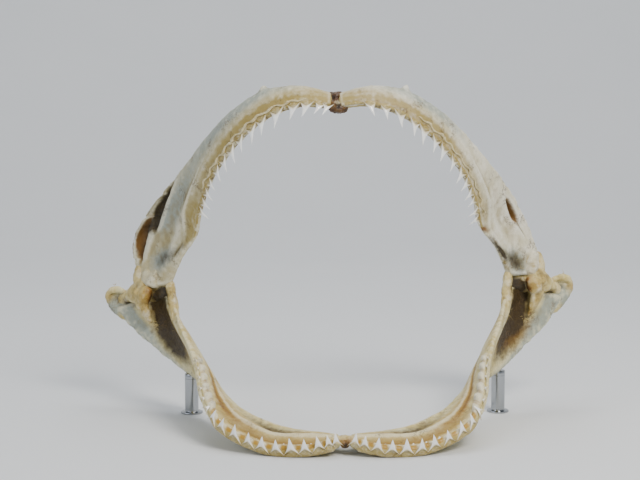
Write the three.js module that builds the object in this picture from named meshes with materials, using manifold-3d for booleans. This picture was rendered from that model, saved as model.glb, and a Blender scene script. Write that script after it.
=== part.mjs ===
// The dried jaws of a requiem shark, standing on the front of the lower jaw and on two steel posts.
// Millimetres, +X to the jaw's own left-right, +Y back from the lip, +Z up.
//
// Each cartilage is a "plate": a skin wrapped round a chord that runs from the tooth edge to the
// far edge of the bone. Stations along the bone give both edges, how far the plate's middle bends
// away from the chord, and half its thickness at either edge. Between stations everything follows
// a Catmull-Rom curve. The right half is laid out (X > 0) and the left half is its mirror.

import * as THREE from 'three';
import { mergeVertices } from 'three/addons/utils/BufferGeometryUtils.js';
import Module from 'manifold-3d';

const wasm = await Module();
wasm.setup();

// ---- Driving dimensions ------------------------------------------------------------------

const GAP = 0.3;              // clearance between touching pieces
const ROUNDNESS = 0.72;       // exponent of the plate's edge, 1 is an ellipse, less is blunter
const CAP = 0.016;            // share of a bone's length that rounds off at each end
const SLIVER = 0.12;          // detail smaller than this is smoothed out of a cut
const PLATE_ROWS = 19;        // sections along a bone between its rounded ends
const PLATE_COLUMNS = 14;     // points round a section
const FRAME_STEP = 0.01;      // half the share of a bone that its direction is taken over
const END_DEPTH = 0.9;        // share of its depth that a bone keeps at its very ends
const END_CLEARANCE = 1.2;    // how much more than GAP a cut clears at a bone's ends, as a factor

// Lower jaw, from the symphysis at the front to the joint and the knob behind it.
const LOWER = {
  tooth: [[2.6, -0.5, 8], [24, -2, 3.8], [47, 3, 4.2], [71, 16, 13], [82.5, 35, 25],
    [87.5, 59, 39.5], [92.5, 79, 49.5], [99, 97, 59.5], [104, 116, 69.5], [107.5, 131, 76.5]],
  far: [[2.6, 22, 6.5], [22, 26, 5.5], [41, 34, 7], [57.5, 50, 11], [70.5, 72, 16.5],
    [84, 100, 21.5], [99.5, 117.5, 27], [115, 127.5, 37.5], [133.5, 140, 51], [147, 148.5, 66]],
  bend: [-1.2, 0, 0, 0.5, 1.2, 3, 5.5, 6.5, 5, 1],
  nearHalf: [2.8, 5.2, 5, 4.8, 4, 3.2, 3, 3, 3.2, 4],
  farHalf: [2.8, 5.5, 5.5, 5.2, 4.8, 4.5, 4.2, 4, 4.4, 6],
  // Swells and hollows of a face: [share across the bone, width, height], all of them fading
  // along the bone from the middle and over the width that `along` gives.
  reliefTop: { along: [0.12, 0.3], swells: [[0.62, 0.2, 1.2], [0.3, 0.13, -2.2]] },
  reliefOutside: { along: [0.72, 0.22], swells: [[0.16, 0.1, 1.8], [0.92, 0.12, 2]] },
  lumps: [{ at: [145.5, 148.5, 71.5], size: [7, 6, 7] }],                   // knob behind the joint
};

// Upper jaw, from the symphysis at the top to the joint.
const UPPER = {
  tooth: [[3, 50.9, 195.5], [18, 50.1, 196.5], [35, 53.3, 192], [50, 59.5, 182.5],
    [63, 67.8, 170], [76, 79.5, 152.5], [84, 92, 133.5], [88, 103, 117.5], [98, 112, 103.5],
    [108, 127, 83]],
  far: [[3, 62, 202], [20, 62, 206], [39, 68, 204.5], [56.8, 76, 195.5], [73.8, 88, 181],
    [91.2, 101.5, 161], [110, 122, 136], [121, 135, 115.5], [128, 140, 97], [126.5, 138, 82]],
  bend: [0.5, 1, 1.2, 1.2, 1, 0, -1.5, -2.5, -2.5, 0],
  nearHalf: [2.8, 3.2, 3.4, 3.4, 3.2, 3, 3, 3.2, 3.6, 5],
  farHalf: [3, 3.6, 4, 4, 3.8, 3.4, 3.2, 3.2, 3.6, 5],
  reliefTop: { along: [0.72, 0.2], swells: [[0.4, 0.13, 2.6], [0.68, 0.16, -2]] },
  reliefOutside: { along: [0.72, 0.2], swells: [] },
  lumps: [{ at: [43.5, 68.5, 203], size: [4.5, 3.8, 4.2] }],                // orbital process
};

const FLARE = 9;              // how far the left upper jaw's torn rim stands out
const FLARE_AT = 0.76;
const FLARE_WIDTH = 0.13;
const FLARE_CURL = 0.5;       // how far it curls forward, as a share of how far it stands out

// Teeth. `first` and `step` place the cusps along the bone, `bow` spreads the middle ones, and
// `lean` is the cusp's direction as shares of the bone's across and up directions.
const LOWER_TEETH = {
  lean: [-0.45, 0.89], seat: [-0.2, 1], height: 9.6, width: 8.8, bandFrom: 0.012, bandTo: 0.62,
  reclinedFrom: 0.36,
  left: { first: 0.012, step: 0.0358, bow: 0, count: 15 },
  right: { first: 0.015, step: 0.037, bow: 0, count: 15 },
};
const UPPER_TEETH = {
  lean: [-0.88, -0.47], seat: [0.6, -0.6], height: 9.5, width: 8.2, bandFrom: 0.016, bandTo: 0.8,
  reclinedFrom: 1,
  left: { first: 0.025, step: 0.0475, bow: 0.12, count: 15 },
  right: { first: 0.139, step: 0.0475, bow: 0.1, count: 14 },
};
const BAND_HALF = [2.3, 3.9]; // half width of the tooth band, along and across the bone's edge
const BAND_SETBACK = 0.7;
const BAND_ROWS = 15;
const BAND_COLUMNS = 6;
const BAND_TAPER = 0.3;       // share of its size that the band loses towards the joint
const TOOTH_ROOT = 1.2;       // depth of a tooth's root in the band
const TOOTH_SMALLEST = 0.62;  // size of the last tooth, as a share of the largest
const TOOTH_ALTERNATE = 0.9;  // size of every second tooth, as a share of its neighbours
const TOOTH_ARC = [0.15, 1.1];     // where the sizes start on their half wave, and how fast they run
const TOOTH_TILT = [0.12, 0.22];   // tilt along the bone, of the first and of the last tooth
const TOOTH_THICKNESS = [0.5, 1.7];     // half thickness at the tip and at the foot
const RECLINED_RANGE = 0.08;  // share of the bone over which the teeth come to lie back
const RECLINED_LEAN = 1.2;
const RECLINED_LOSS = 0.45;   // share of its height that a reclined tooth loses
const TOOTH_LEVELS = [[0, 0], [0, 1], [0.3, 0.5], [1, 0]];   // height, half width
const TOOTH_COLUMNS = 5;

const POSTS = {
  left: { x: -94.5, y: 113 },
  right: { x: 100.5, y: 117 },
};
const POST_RADIUS = 4.3;
const POST_FOOT_RADIUS = 7;
const POST_FOOT_HEIGHT = 1.2;
const POST_FLARE = 1.92;      // height at which the foot has run into the stem
const POST_BITE = 1.2;        // how deep the saddle in a post's top reaches round the bone
const POST_SIDES = 24;
const SADDLE_STEP = 2;        // spacing of the points that a post's height is found from

const LUMP_SEGMENTS = [8, 6]; // of every ellipsoid, round it and from pole to pole

// Dried ligament round the joint, as overlapping lumps on the right half.
const JOINT_LUMPS = [
  { at: [109.5, 127, 79], size: [6.5, 7, 7] },
  { at: [119, 129, 80], size: [9, 7.5, 7] },
  { at: [130, 138, 79], size: [9, 7.5, 8] },
  { at: [124, 129, 67], size: [4.8, 6, 13] },
];
const SYMPHYSIS_LUMPS = {
  upper: { at: [0, 57, 199], size: [6.5, 6.5, 5.5] },
  lower: { at: [0, 12, 7], size: [6, 9, 3.2] },
};

const LEAN = 0.028;           // sideways lean of the dried jaws, per mm of height
const LEAN_START = 1.5;       // offset of the jaw's middle at the floor
const TWIST = 0.035;          // how much the right side is raised, per mm from the middle
const TWIST_FROM = 25;        // height at which the twist begins
const TWIST_RANGE = 175;      // height over which it comes and goes
const WELD = 1e-4;            // points closer than this are one

// ---- Curves and frames -------------------------------------------------------------------

/** Catmull-Rom value of a list of numbers or of points, at t from 0 to 1 along the list. */
function along(rows, t) {
  const x = THREE.MathUtils.clamp(t, 0, 1) * (rows.length - 1);
  const i = Math.min(Math.floor(x), rows.length - 2);
  const f = x - i;
  const [p1, p2] = [rows[i], rows[i + 1]];
  const mirror = (a, b) => (Array.isArray(a) ? a.map((v, k) => 2 * v - b[k]) : 2 * a - b);
  const p0 = i > 0 ? rows[i - 1] : mirror(p1, p2);
  const p3 = i + 2 < rows.length ? rows[i + 2] : mirror(p2, p1);
  const blend = (a, b, c, d) => b + 0.5 * f * (c - a + f * (2 * a - 5 * b + 4 * c - d
    + f * (3 * (b - c) + d - a)));
  if (!Array.isArray(p1)) {
    return blend(p0, p1, p2, p3);
  }
  return p1.map((v, k) => blend(p0[k], v, p2[k], p3[k]));
}

/** Edge points of a jaw at t, and the directions along it, across it and out of its face. */
function frame(jaw, t) {
  const point = (rows, s) => new THREE.Vector3(...along(rows, s));
  const near = point(jaw.tooth, t);
  const far = point(jaw.far, t);
  const [t0, t1] = [Math.max(0, t - FRAME_STEP), Math.min(1, t + FRAME_STEP)];
  const run = point(jaw.tooth, t1).add(point(jaw.far, t1))
    .sub(point(jaw.tooth, t0)).sub(point(jaw.far, t0)).normalize();
  const across = far.clone().sub(near).normalize();
  const up = run.clone().cross(across).normalize();
  return { near, far, run, across, up };
}

/** A smooth bump of height 1 at the centre. */
function bump(x, centre, width) {
  return Math.exp(-(((x - centre) / width) ** 2));
}

/** Height of a jaw's relief on one face, at t along the bone and u across it. */
function relief(jaw, t, u, top) {
  const { along: [centre, width], swells } = top ? jaw.reliefTop : jaw.reliefOutside;
  const height = swells.reduce((sum, [at, reach, rise]) => sum + rise * bump(u, at, reach), 0);
  return height * bump(t, centre, width);
}

/** 1 along a bone, falling to 0 on a quarter circle at both ends. */
function capRoundness(t) {
  const k = Math.max(0, 1 - t / CAP, 1 - (1 - t) / CAP);
  return Math.sqrt(Math.max(0, 1 - k * k));
}

/** A point on a plate: t along the bone, angle round its section, grown outwards by grow. */
function platePoint(jaw, side, t, angle, grow) {
  const { near, far, across, up } = frame(jaw, t);
  const flare = jaw === UPPER && side < 0 ? FLARE * bump(t, FLARE_AT, FLARE_WIDTH) : 0;
  const depth = near.distanceTo(far) + flare;
  const u = (1 - Math.cos(angle)) / 2;
  const top = Math.sin(angle) >= 0;
  const round = Math.abs(Math.sin(angle)) ** ROUNDNESS;
  const endRound = capRoundness(t);
  const half = THREE.MathUtils.lerp(along(jaw.nearHalf, t), along(jaw.farHalf, t), u);
  const thick = ((half + relief(jaw, t, u, top)) * endRound + grow) * round;
  const middle = along(jaw.bend, t) * 4 * u * (1 - u) + FLARE_CURL * flare * u ** 4;
  const kept = END_DEPTH + (1 - END_DEPTH) * endRound;
  const reach = (u - 0.5) * (depth * kept + 2 * grow) + depth / 2;
  return near.addScaledVector(across, reach).addScaledVector(up, middle + (top ? thick : -thick));
}

/** Moves a point of the even right half to its side and its place in the leaning jaws. */
function place(point, side) {
  const level = THREE.MathUtils.clamp((point.z - TWIST_FROM) / TWIST_RANGE, 0, 1);
  const x = point.x * side;
  const lift = x * TWIST * Math.sin(Math.PI * level);
  return new THREE.Vector3(x + LEAN_START - LEAN * point.z, point.y, point.z + lift);
}

// ---- Solids --------------------------------------------------------------------------------

/** Turns a closed indexed geometry into a solid, dropping faces that have no area. */
function toSolid(geometry, flipped = false) {
  const bare = geometry.clone();
  bare.deleteAttribute('normal');
  bare.deleteAttribute('uv');
  const merged = mergeVertices(bare, WELD);
  const index = merged.index.array;
  const faces = [];
  for (let i = 0; i < index.length; i += 3) {
    const [a, b, c] = [index[i], index[i + 1], index[i + 2]];
    if (a !== b && b !== c && c !== a) {
      faces.push(a, flipped ? c : b, flipped ? b : c);
    }
  }
  return new wasm.Manifold(new wasm.Mesh({
    numProp: 3,
    vertProperties: new Float32Array(merged.attributes.position.array),
    triVerts: new Uint32Array(faces),
  }));
}

/** A skin of rows + 1 rings with the given number of columns, from pointAt(row, column). */
function skin(rows, columns, pointAt) {
  const points = [];
  for (let i = 0; i <= rows; i += 1) {
    for (let j = 0; j < columns; j += 1) {
      points.push(...pointAt(i, j).toArray());
    }
  }
  const index = [];
  for (let i = 0; i < rows; i += 1) {
    for (let j = 0; j < columns; j += 1) {
      const [a, b] = [i * columns + j, i * columns + ((j + 1) % columns)];
      index.push(a, b, b + columns, a, b + columns, a + columns);
    }
  }
  const geometry = new THREE.BufferGeometry();
  geometry.setAttribute('position', new THREE.Float32BufferAttribute(points, 3));
  geometry.setIndex(index);
  return geometry;
}

/** Sections along a plate, with extra ones where each end rounds off. */
function plateStations() {
  const end = [0, CAP * 0.25, CAP];
  const step = (1 - 2 * CAP) / (PLATE_ROWS + 1);
  const middle = Array.from({ length: PLATE_ROWS }, (_, i) => CAP + step * (i + 1));
  return [...end, ...middle, ...end.map((t) => 1 - t).reverse()];
}

/** One bone without its lumps, grown outwards by grow. */
function plate(jaw, side, grow = 0) {
  const stations = plateStations();
  const last = stations.length - 1;
  const geometry = skin(last, PLATE_COLUMNS, (i, j) => {
    const angle = (2 * Math.PI * j) / PLATE_COLUMNS;
    const endward = Number(i === last) - Number(i === 0);
    const point = platePoint(jaw, side, stations[i], angle, endward ? 0 : grow);
    const beyond = END_CLEARANCE * grow * endward;
    return place(point.addScaledVector(frame(jaw, stations[i]).run, beyond), side);
  });
  return toSolid(geometry, side > 0);
}

/** A round lump at a place on the right half, moved to its side. */
function lump({ at, size }, side, grow = 0) {
  const ball = new THREE.SphereGeometry(1, ...LUMP_SEGMENTS);
  const position = ball.attributes.position;
  const point = new THREE.Vector3();
  for (let i = 0; i < position.count; i += 1) {
    point.fromBufferAttribute(position, i);
    const [x, y, z] = size.map((radius, k) => at[k] + (radius + grow) * point.getComponent(k));
    position.setXYZ(i, ...place(new THREE.Vector3(x, y, z), side).toArray());
  }
  return toSolid(ball, side < 0);
}

/** A whole bone: its plate and its lumps. */
function bone(jaw, side, grow = 0) {
  const parts = jaw.lumps.map((item) => lump(item, side, grow));
  return parts.reduce((solid, part) => solid.add(part), plate(jaw, side, grow));
}

/** The gum band that wraps a jaw's tooth edge. */
function band(jaw, teeth, side, grow = 0) {
  const last = BAND_ROWS + 2;
  const geometry = skin(last, BAND_COLUMNS, (i, j) => {
    const share = THREE.MathUtils.clamp((i - 1) / BAND_ROWS, 0, 1);
    const t = THREE.MathUtils.lerp(teeth.bandFrom, teeth.bandTo, share);
    const { near, across, up } = frame(jaw, t);
    const angle = (2 * Math.PI * j) / BAND_COLUMNS;
    const size = i === 0 || i === last ? 0 : 1 - BAND_TAPER * share;
    const [a, b] = BAND_HALF.map((half) => (half + grow) * size);
    near.addScaledVector(across, BAND_SETBACK - a * Math.cos(angle));
    return place(near.addScaledVector(up, b * Math.sin(angle)), side);
  });
  return toSolid(geometry, side > 0);
}

/** Size of cusp number k of a row, as a share of the largest. */
function toothSize(k, share) {
  const [start, speed] = TOOTH_ARC;
  const wave = Math.sin(Math.PI * Math.min(1, share * speed + start));
  return THREE.MathUtils.lerp(TOOTH_SMALLEST, 1, wave) * (k % 2 ? TOOTH_ALTERNATE : 1);
}

/** Cusp number k of one side: a flat blade with spreading feet, rooted inside the band. */
function tooth(jaw, teeth, side, k) {
  const { first, step, bow, count } = side < 0 ? teeth.left : teeth.right;
  const share = k / (count - 1);
  const t = first + step * k * (1 + bow * Math.sin(Math.PI * share));
  const { near, run, across, up } = frame(jaw, t);
  const lyingFrom = teeth.reclinedFrom;
  const reclined = THREE.MathUtils.smoothstep(t, lyingFrom, lyingFrom + RECLINED_RANGE);
  const size = toothSize(k, share);
  const tilt = THREE.MathUtils.lerp(...TOOTH_TILT, share);
  const [outward, rise] = teeth.lean;
  const cusp = across.clone().multiplyScalar(outward + reclined * RECLINED_LEAN)
    .addScaledVector(up, rise).addScaledVector(run, tilt).normalize();
  const face = run.clone().cross(cusp).normalize();
  const root = near.addScaledVector(across, teeth.seat[0]).addScaledVector(up, teeth.seat[1])
    .addScaledVector(cusp, -TOOTH_ROOT);
  const cuspHeight = teeth.height * size * (1 - RECLINED_LOSS * reclined) + TOOTH_ROOT;
  const geometry = skin(TOOTH_LEVELS.length - 1, TOOTH_COLUMNS, (i, j) => {
    const [height, half] = TOOTH_LEVELS[i];
    const angle = (2 * Math.PI * j) / TOOTH_COLUMNS;
    const width = (teeth.width / 2) * size * half;
    const thickness = Math.min(width, THREE.MathUtils.lerp(...TOOTH_THICKNESS, half));
    const point = root.clone().addScaledVector(cusp, cuspHeight * height)
      .addScaledVector(run, width * Math.cos(angle))
      .addScaledVector(face, thickness * Math.sin(angle));
    return place(point, side);
  });
  return toSolid(geometry, side > 0);
}

/** The band of one side with its cusps joined to it, cut clear of its bone. */
function toothBand(jaw, teeth, side) {
  const { count } = side < 0 ? teeth.left : teeth.right;
  const cusps = Array.from({ length: count }, (_, k) => tooth(jaw, teeth, side, k));
  const whole = cusps.reduce((solid, cusp) => solid.add(cusp), band(jaw, teeth, side));
  return biggest(whole.subtract(bone(jaw, side, GAP)));
}

/** The largest piece of a solid that a cut may have left in several. */
function biggest(solid) {
  const pieces = solid.decompose();
  const largest = pieces.reduce((best, piece) => (piece.volume() > best.volume() ? piece : best));
  return largest.simplify(SLIVER);
}

/** A steel post with a thin foot, whose top is cut to the bone that it carries. */
function post({ x, y }, carried) {
  const reach = new THREE.Vector3();
  let top = Infinity;
  const { vertProperties } = carried.refineToLength(SADDLE_STEP).getMesh();
  for (let i = 0; i < vertProperties.length; i += 3) {
    reach.fromArray(vertProperties, i);
    if (Math.hypot(reach.x - x, reach.y - y) < POST_RADIUS) {
      top = Math.min(top, reach.z);
    }
  }
  const height = top + POST_BITE;
  const profile = [[0, 0], [POST_FOOT_RADIUS, 0], [POST_FOOT_RADIUS, POST_FOOT_HEIGHT],
    [POST_RADIUS, POST_FLARE], [POST_RADIUS, height], [0, height]]
    .map(([r, h]) => new THREE.Vector2(r, h));
  const stem = new THREE.LatheGeometry(profile, POST_SIDES);
  return toSolid(stem.rotateX(Math.PI / 2).translate(x, y, 0));
}

/** Gives a solid back as a named mesh. */
function toMesh(name, solid, material) {
  const { vertProperties, triVerts } = solid.getMesh();
  const geometry = new THREE.BufferGeometry();
  geometry.setAttribute('position', new THREE.BufferAttribute(vertProperties, 3));
  geometry.setIndex(new THREE.BufferAttribute(triVerts, 1));
  geometry.computeVertexNormals();
  const result = new THREE.Mesh(geometry, material);
  result.name = name;
  return result;
}

// ---- Assembly --------------------------------------------------------------------------------

const finish = (color, roughness, metalness) => new THREE.MeshStandardMaterial({
  color, roughness, metalness,
});
const cartilage = finish('#e4dcc6', 0.55, 0);
const enamel = finish('#f1f0ea', 0.3, 0);
const ligament = finish('#c9a24f', 0.5, 0);
const membrane = finish('#7a4312', 0.4, 0);
const steel = finish('#c8cbce', 0.15, 1);

const jaws = new THREE.Group();
const bones = [];
const bands = [];
for (const [word, side] of [['left', -1], ['right', 1]]) {
  const lower = bone(LOWER, side).trimByPlane([0, 0, 1], 0).simplify(SLIVER);
  const upper = bone(UPPER, side).simplify(SLIVER);
  const carrier = post(POSTS[word], lower).subtract(bone(LOWER, side, GAP));
  jaws.add(toMesh(`lower_jaw_${word}`, lower, cartilage));
  jaws.add(toMesh(`upper_jaw_${word}`, upper, cartilage));
  jaws.add(toMesh(`tooth_band_lower_${word}`, toothBand(LOWER, LOWER_TEETH, side), enamel));
  jaws.add(toMesh(`tooth_band_upper_${word}`, toothBand(UPPER, UPPER_TEETH, side), enamel));
  const lumps = JOINT_LUMPS.map((item) => lump(item, side)).reduce((a, b) => a.add(b));
  const joint = lumps.subtract(bone(LOWER, side, GAP)).subtract(bone(UPPER, side, GAP));
  jaws.add(toMesh(`joint_ligament_${word}`, biggest(joint), ligament));
  jaws.add(toMesh(`stand_post_${word}`, biggest(carrier), steel));
  bones.push(bone(LOWER, side, GAP), bone(UPPER, side, GAP));
  bands.push(band(LOWER, LOWER_TEETH, side, GAP), band(UPPER, UPPER_TEETH, side, GAP));
}
for (const [word, item] of Object.entries(SYMPHYSIS_LUMPS)) {
  const cut = [...bones, ...bands].reduce((solid, tool) => solid.subtract(tool), lump(item, 1));
  jaws.add(toMesh(`symphysis_${word}`, biggest(cut), membrane));
}

// The origin is the middle of the whole thing's footprint, on the floor.
const box = new THREE.Box3().setFromObject(jaws);
const centre = box.getCenter(new THREE.Vector3());
jaws.children.forEach((mesh) => mesh.geometry.translate(-centre.x, -centre.y, -box.min.z));

export default jaws;
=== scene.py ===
"""Looks for the dried jaws of a requiem shark on two steel posts.

Sizes are in millimetres, for the even right half of the jaws, from the symphysis outwards. A Layout
leans and twists them, mirrors the left half and takes them to the model's frame. Only
write_mesh turns them into metres. The studio's bowl and lamps are in metres from the start.
"""

import functools
import itertools
import logging
import math
from dataclasses import dataclass, field, replace
from enum import Enum

import bpy
import numpy as np
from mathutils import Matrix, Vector

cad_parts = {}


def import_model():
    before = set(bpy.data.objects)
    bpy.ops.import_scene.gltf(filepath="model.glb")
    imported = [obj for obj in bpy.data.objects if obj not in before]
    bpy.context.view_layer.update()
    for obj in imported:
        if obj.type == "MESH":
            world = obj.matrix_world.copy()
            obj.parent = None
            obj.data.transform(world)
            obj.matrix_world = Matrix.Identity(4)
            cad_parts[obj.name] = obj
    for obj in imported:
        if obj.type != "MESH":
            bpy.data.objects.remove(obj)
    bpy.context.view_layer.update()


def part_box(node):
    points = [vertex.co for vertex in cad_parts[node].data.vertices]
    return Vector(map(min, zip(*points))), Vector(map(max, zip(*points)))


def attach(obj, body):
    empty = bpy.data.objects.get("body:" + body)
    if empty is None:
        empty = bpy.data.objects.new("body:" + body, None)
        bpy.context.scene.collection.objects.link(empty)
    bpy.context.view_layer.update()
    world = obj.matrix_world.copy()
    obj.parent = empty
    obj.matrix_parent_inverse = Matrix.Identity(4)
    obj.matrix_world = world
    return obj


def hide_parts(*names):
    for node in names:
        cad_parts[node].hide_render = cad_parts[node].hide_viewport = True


Array = np.ndarray
Socket = bpy.types.NodeSocket
Rows = tuple[tuple[float, ...], ...]

LOG = logging.getLogger("jaws")
MM = 0.001
LEFT, RIGHT = -1, 1
SIDE_WORDS = {LEFT: "left", RIGHT: "right"}
LEFT_POST = (94.5, 113.0)    # mm that the left post stands out from the middle, and back
FLOOR_CLEARANCE = 0.05       # mm that everything stays above the floor
BONE_LENGTH = 260.0          # mm that t from 0 to 1 stands for in noise along an edge


class Channel(Enum):
    """What a mark changes: the height of a surface, or a stain of its material, in places painted
    shade.
    """

    RELIEF = "relief"
    GOLD = "gold"
    AMBER = "amber"
    DARK = "dark"
    GREY = "grey"
    CAVITY = "cavity"


STAINS = (Channel.GOLD, Channel.AMBER, Channel.DARK, Channel.GREY)


class Face(Enum):
    """The two faces of a cartilage plate: the one its relief rises from, and the one behind."""

    TOP = "top"
    UNDER = "under"


class Seal(Enum):
    """How the end rows of a skin close: to one point, or folded flat along a line."""

    POLE = "pole"
    FOLD = "fold"


# ---- Numbers on whole arrays ----------------------------------------------------------------


def unit(vectors: Array) -> Array:
    """Vectors of length one."""
    return vectors / np.maximum(np.linalg.norm(vectors, axis=-1, keepdims=True), 1e-12)


def bump(x: Array, centre: float, width: float) -> Array:
    """A Gaussian of height one at the centre."""
    return np.exp(-(((x - centre) / width) ** 2))


def step_between(x: Array, low: float, high: float) -> Array:
    """0 below low, 1 above high, with the cubic 3s^2 - 2s^3 between them."""
    share = np.clip((x - low) / (high - low), 0.0, 1.0)
    return share * share * (3.0 - 2.0 * share)


def along(rows: Rows | Array, t: Array) -> Array:
    """Catmull-Rom curve through evenly spaced stations.

    The stations are carried on at both ends by reflection, so the curve passes through each one
    and leaves it in the direction between its neighbours.

    Args:
        rows: The stations, numbers or points.
        t: Places along the curve, from 0 to 1.

    Returns:
        The curve's value at each t.
    """
    r = np.asarray(rows, float)
    x = np.clip(t, 0.0, 1.0) * (len(r) - 1)
    i = np.minimum(x.astype(int), len(r) - 2)
    f = x - i
    padded = np.concatenate([[2 * r[0] - r[1]], r, [2 * r[-1] - r[-2]]])
    a, b, c, d = padded[i], padded[i + 1], padded[i + 2], padded[i + 3]
    if r.ndim > 1:
        f = f[..., None]
    return b + 0.5 * f * (c - a + f * (2 * a - 5 * b + 4 * c - d + f * (3 * (b - c) + d - a)))


def lattice_noise(points: Array, size: float, seed: int) -> Array:
    """Smooth noise from -1 to 1.

    Each corner of a cubic lattice has a hashed value, and a point takes the mean of its eight
    corners, weighted along each axis by the fade 6f^5 - 15f^4 + 10f^3.

    Args:
        points: Places, in the unit of size.
        size: Edge of a lattice cell.
        seed: Picks another noise.

    Returns:
        One number for each point.
    """
    scaled = points / size + 0.37 * seed
    cell = np.floor(scaled).astype(np.int64)
    f = scaled - cell
    fade = f * f * f * (f * (6.0 * f - 15.0) + 10.0)
    total = np.zeros(points.shape[:-1])
    for corner in itertools.product((0, 1), repeat=3):
        x, y, z = np.moveaxis(cell + np.array(corner), -1, 0)
        h = (x * 73856093 ^ y * 19349663 ^ z * 83492791 ^ seed * 265443576) & 0xFFFFFFFF
        h = ((h ^ (h >> 13)) * 1274126177) & 0xFFFFFFFF
        value = ((h ^ (h >> 16)) & 0xFFFFFF) / 0x7FFFFF - 1.0
        total += value * np.prod(np.where(corner, fade, 1.0 - fade), axis=-1)
    return total


def layered_noise(points: Array, size: float, seed: int, octaves: int = 3) -> Array:
    """Sum of lattice noises, each half as large and half as high as the one before."""
    layers = (lattice_noise(points, size / 2**k, seed + k) / 2**k for k in range(octaves))
    return sum(layers)


def edge_line(t: Array, y: float = 0.0, z: float = 0.0) -> Array:
    """Places to take noise at along an edge; another y or z gives another run of it."""
    return np.stack([t * BONE_LENGTH, np.full_like(t, y), np.full_like(t, z)], -1)


def circle(columns: int) -> Array:
    """Angles evenly round a circle."""
    return np.arange(columns) * 2 * math.pi / columns


def lathe(profile: Array, columns: int) -> Array:
    """Rings round the upright axis, one for each radius and height of the profile."""
    angle = circle(columns)
    ring = np.stack([np.cos(angle), np.sin(angle), 0 * angle], -1)
    points = ring[None] * profile[:, None, :1]
    points[..., 2] += profile[:, 1:]
    return points


def stains_over(like: Array, shares: dict[Channel, Array | float]) -> dict[Channel, Array]:
    """Each stain's share over an array's shape, 0 where none is given."""
    return {c: np.broadcast_to(shares.get(c, 0.0), like.shape) for c in STAINS}


def soften(grid: Array, passes: int) -> Array:
    """Replaces each point by the mean of its four neighbours, passes times; columns wrap round."""
    for _ in range(passes):
        up = np.concatenate([grid[:1], grid[:-1]])
        down = np.concatenate([grid[1:], grid[-1:]])
        grid = (up + down + np.roll(grid, 1, 1) + np.roll(grid, -1, 1)) / 4.0
    return grid


def hollowness(points: Array, normals: Array, passes: int, depth: float) -> Array:
    """How far each point lies below its softened surroundings, as a share of a depth in mm."""
    return ((soften(points, passes) - points) * normals).sum(-1) / depth


def grid_normals(points: Array) -> Array:
    """Outward normals of a tube of points: the cross product of its two grid directions."""
    lengthwise = np.gradient(points, axis=0)
    round_about = np.roll(points, -1, 1) - np.roll(points, 1, 1)
    normals = unit(np.cross(round_about, lengthwise))
    outward = points - points.mean(axis=1, keepdims=True)
    return normals * np.sign((normals * outward).sum())


# ---- Pieces ---------------------------------------------------------------------------------


@dataclass(frozen=True)
class Layout:
    """How the even half of the jaws comes to its place in the leaning, twisted specimen.

    Nothing reaches below the floor that the specimen stands on.
    """

    shift: tuple[float, float, float]
    lean: float = 0.028
    lean_start: float = 1.5
    twist: float = 0.035
    twist_from: float = 25.0
    twist_range: float = 175.0

    def settle(self, points: Array, side: int) -> Array:
        """Mirrors points to their side, leans them by height and lifts them by distance outwards.

        Args:
            points: Places on the right half, in mm.
            side: LEFT or RIGHT.

        Returns:
            Places in the model's frame, in mm.
        """
        x = points[..., 0] * side
        height = points[..., 2]
        level = np.clip((height - self.twist_from) / self.twist_range, 0.0, 1.0)
        lift = x * self.twist * np.sin(math.pi * level)
        leaned = x + self.lean_start - self.lean * height
        on_floor = np.maximum(height + lift, FLOOR_CLEARANCE)
        return np.stack([leaned, points[..., 1], on_floor], -1) + np.array(self.shift)


@dataclass
class Skin:
    """Closed grids of points: (shells,) rows along, columns round, with stains at each point."""

    points: Array
    seal: Seal
    stains: dict[Channel, Array] = field(default_factory=dict)

    def faces(self) -> tuple[Array, Array]:
        """Numbers of the corners of each quad and triangle.

        Returns:
            Quads, shape (n, 4), and triangles, shape (m, 3), as numbers into the flat points.
        """
        shells, rows, columns = self.points.shape[:3]
        index = np.arange(rows * columns).reshape(rows, columns)
        for row in (0, rows - 1):
            j = np.arange(columns)
            joined = np.minimum(j, columns - j) if self.seal is Seal.FOLD else np.zeros_like(j)
            index[row] = index[row, 0] + joined
        a, b = index[:-1], np.roll(index, -1, 1)[:-1]
        c, d = np.roll(index, -1, 1)[1:], index[1:]
        if self.seal is Seal.FOLD:
            quads = np.stack([a, b, c, d], -1).reshape(-1, 4)
            triangles = np.zeros((0, 3), int)
        else:
            quads = np.stack([a, b, c, d], -1)[1:-1].reshape(-1, 4)
            first = np.stack([a[0], c[0], d[0]], -1)
            last = np.stack([a[-1], b[-1], d[-1]], -1)
            triangles = np.concatenate([first, last])
        offsets = np.arange(shells)[:, None, None] * rows * columns
        return (quads + offsets).reshape(-1, 4), (triangles + offsets).reshape(-1, 3)


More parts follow.
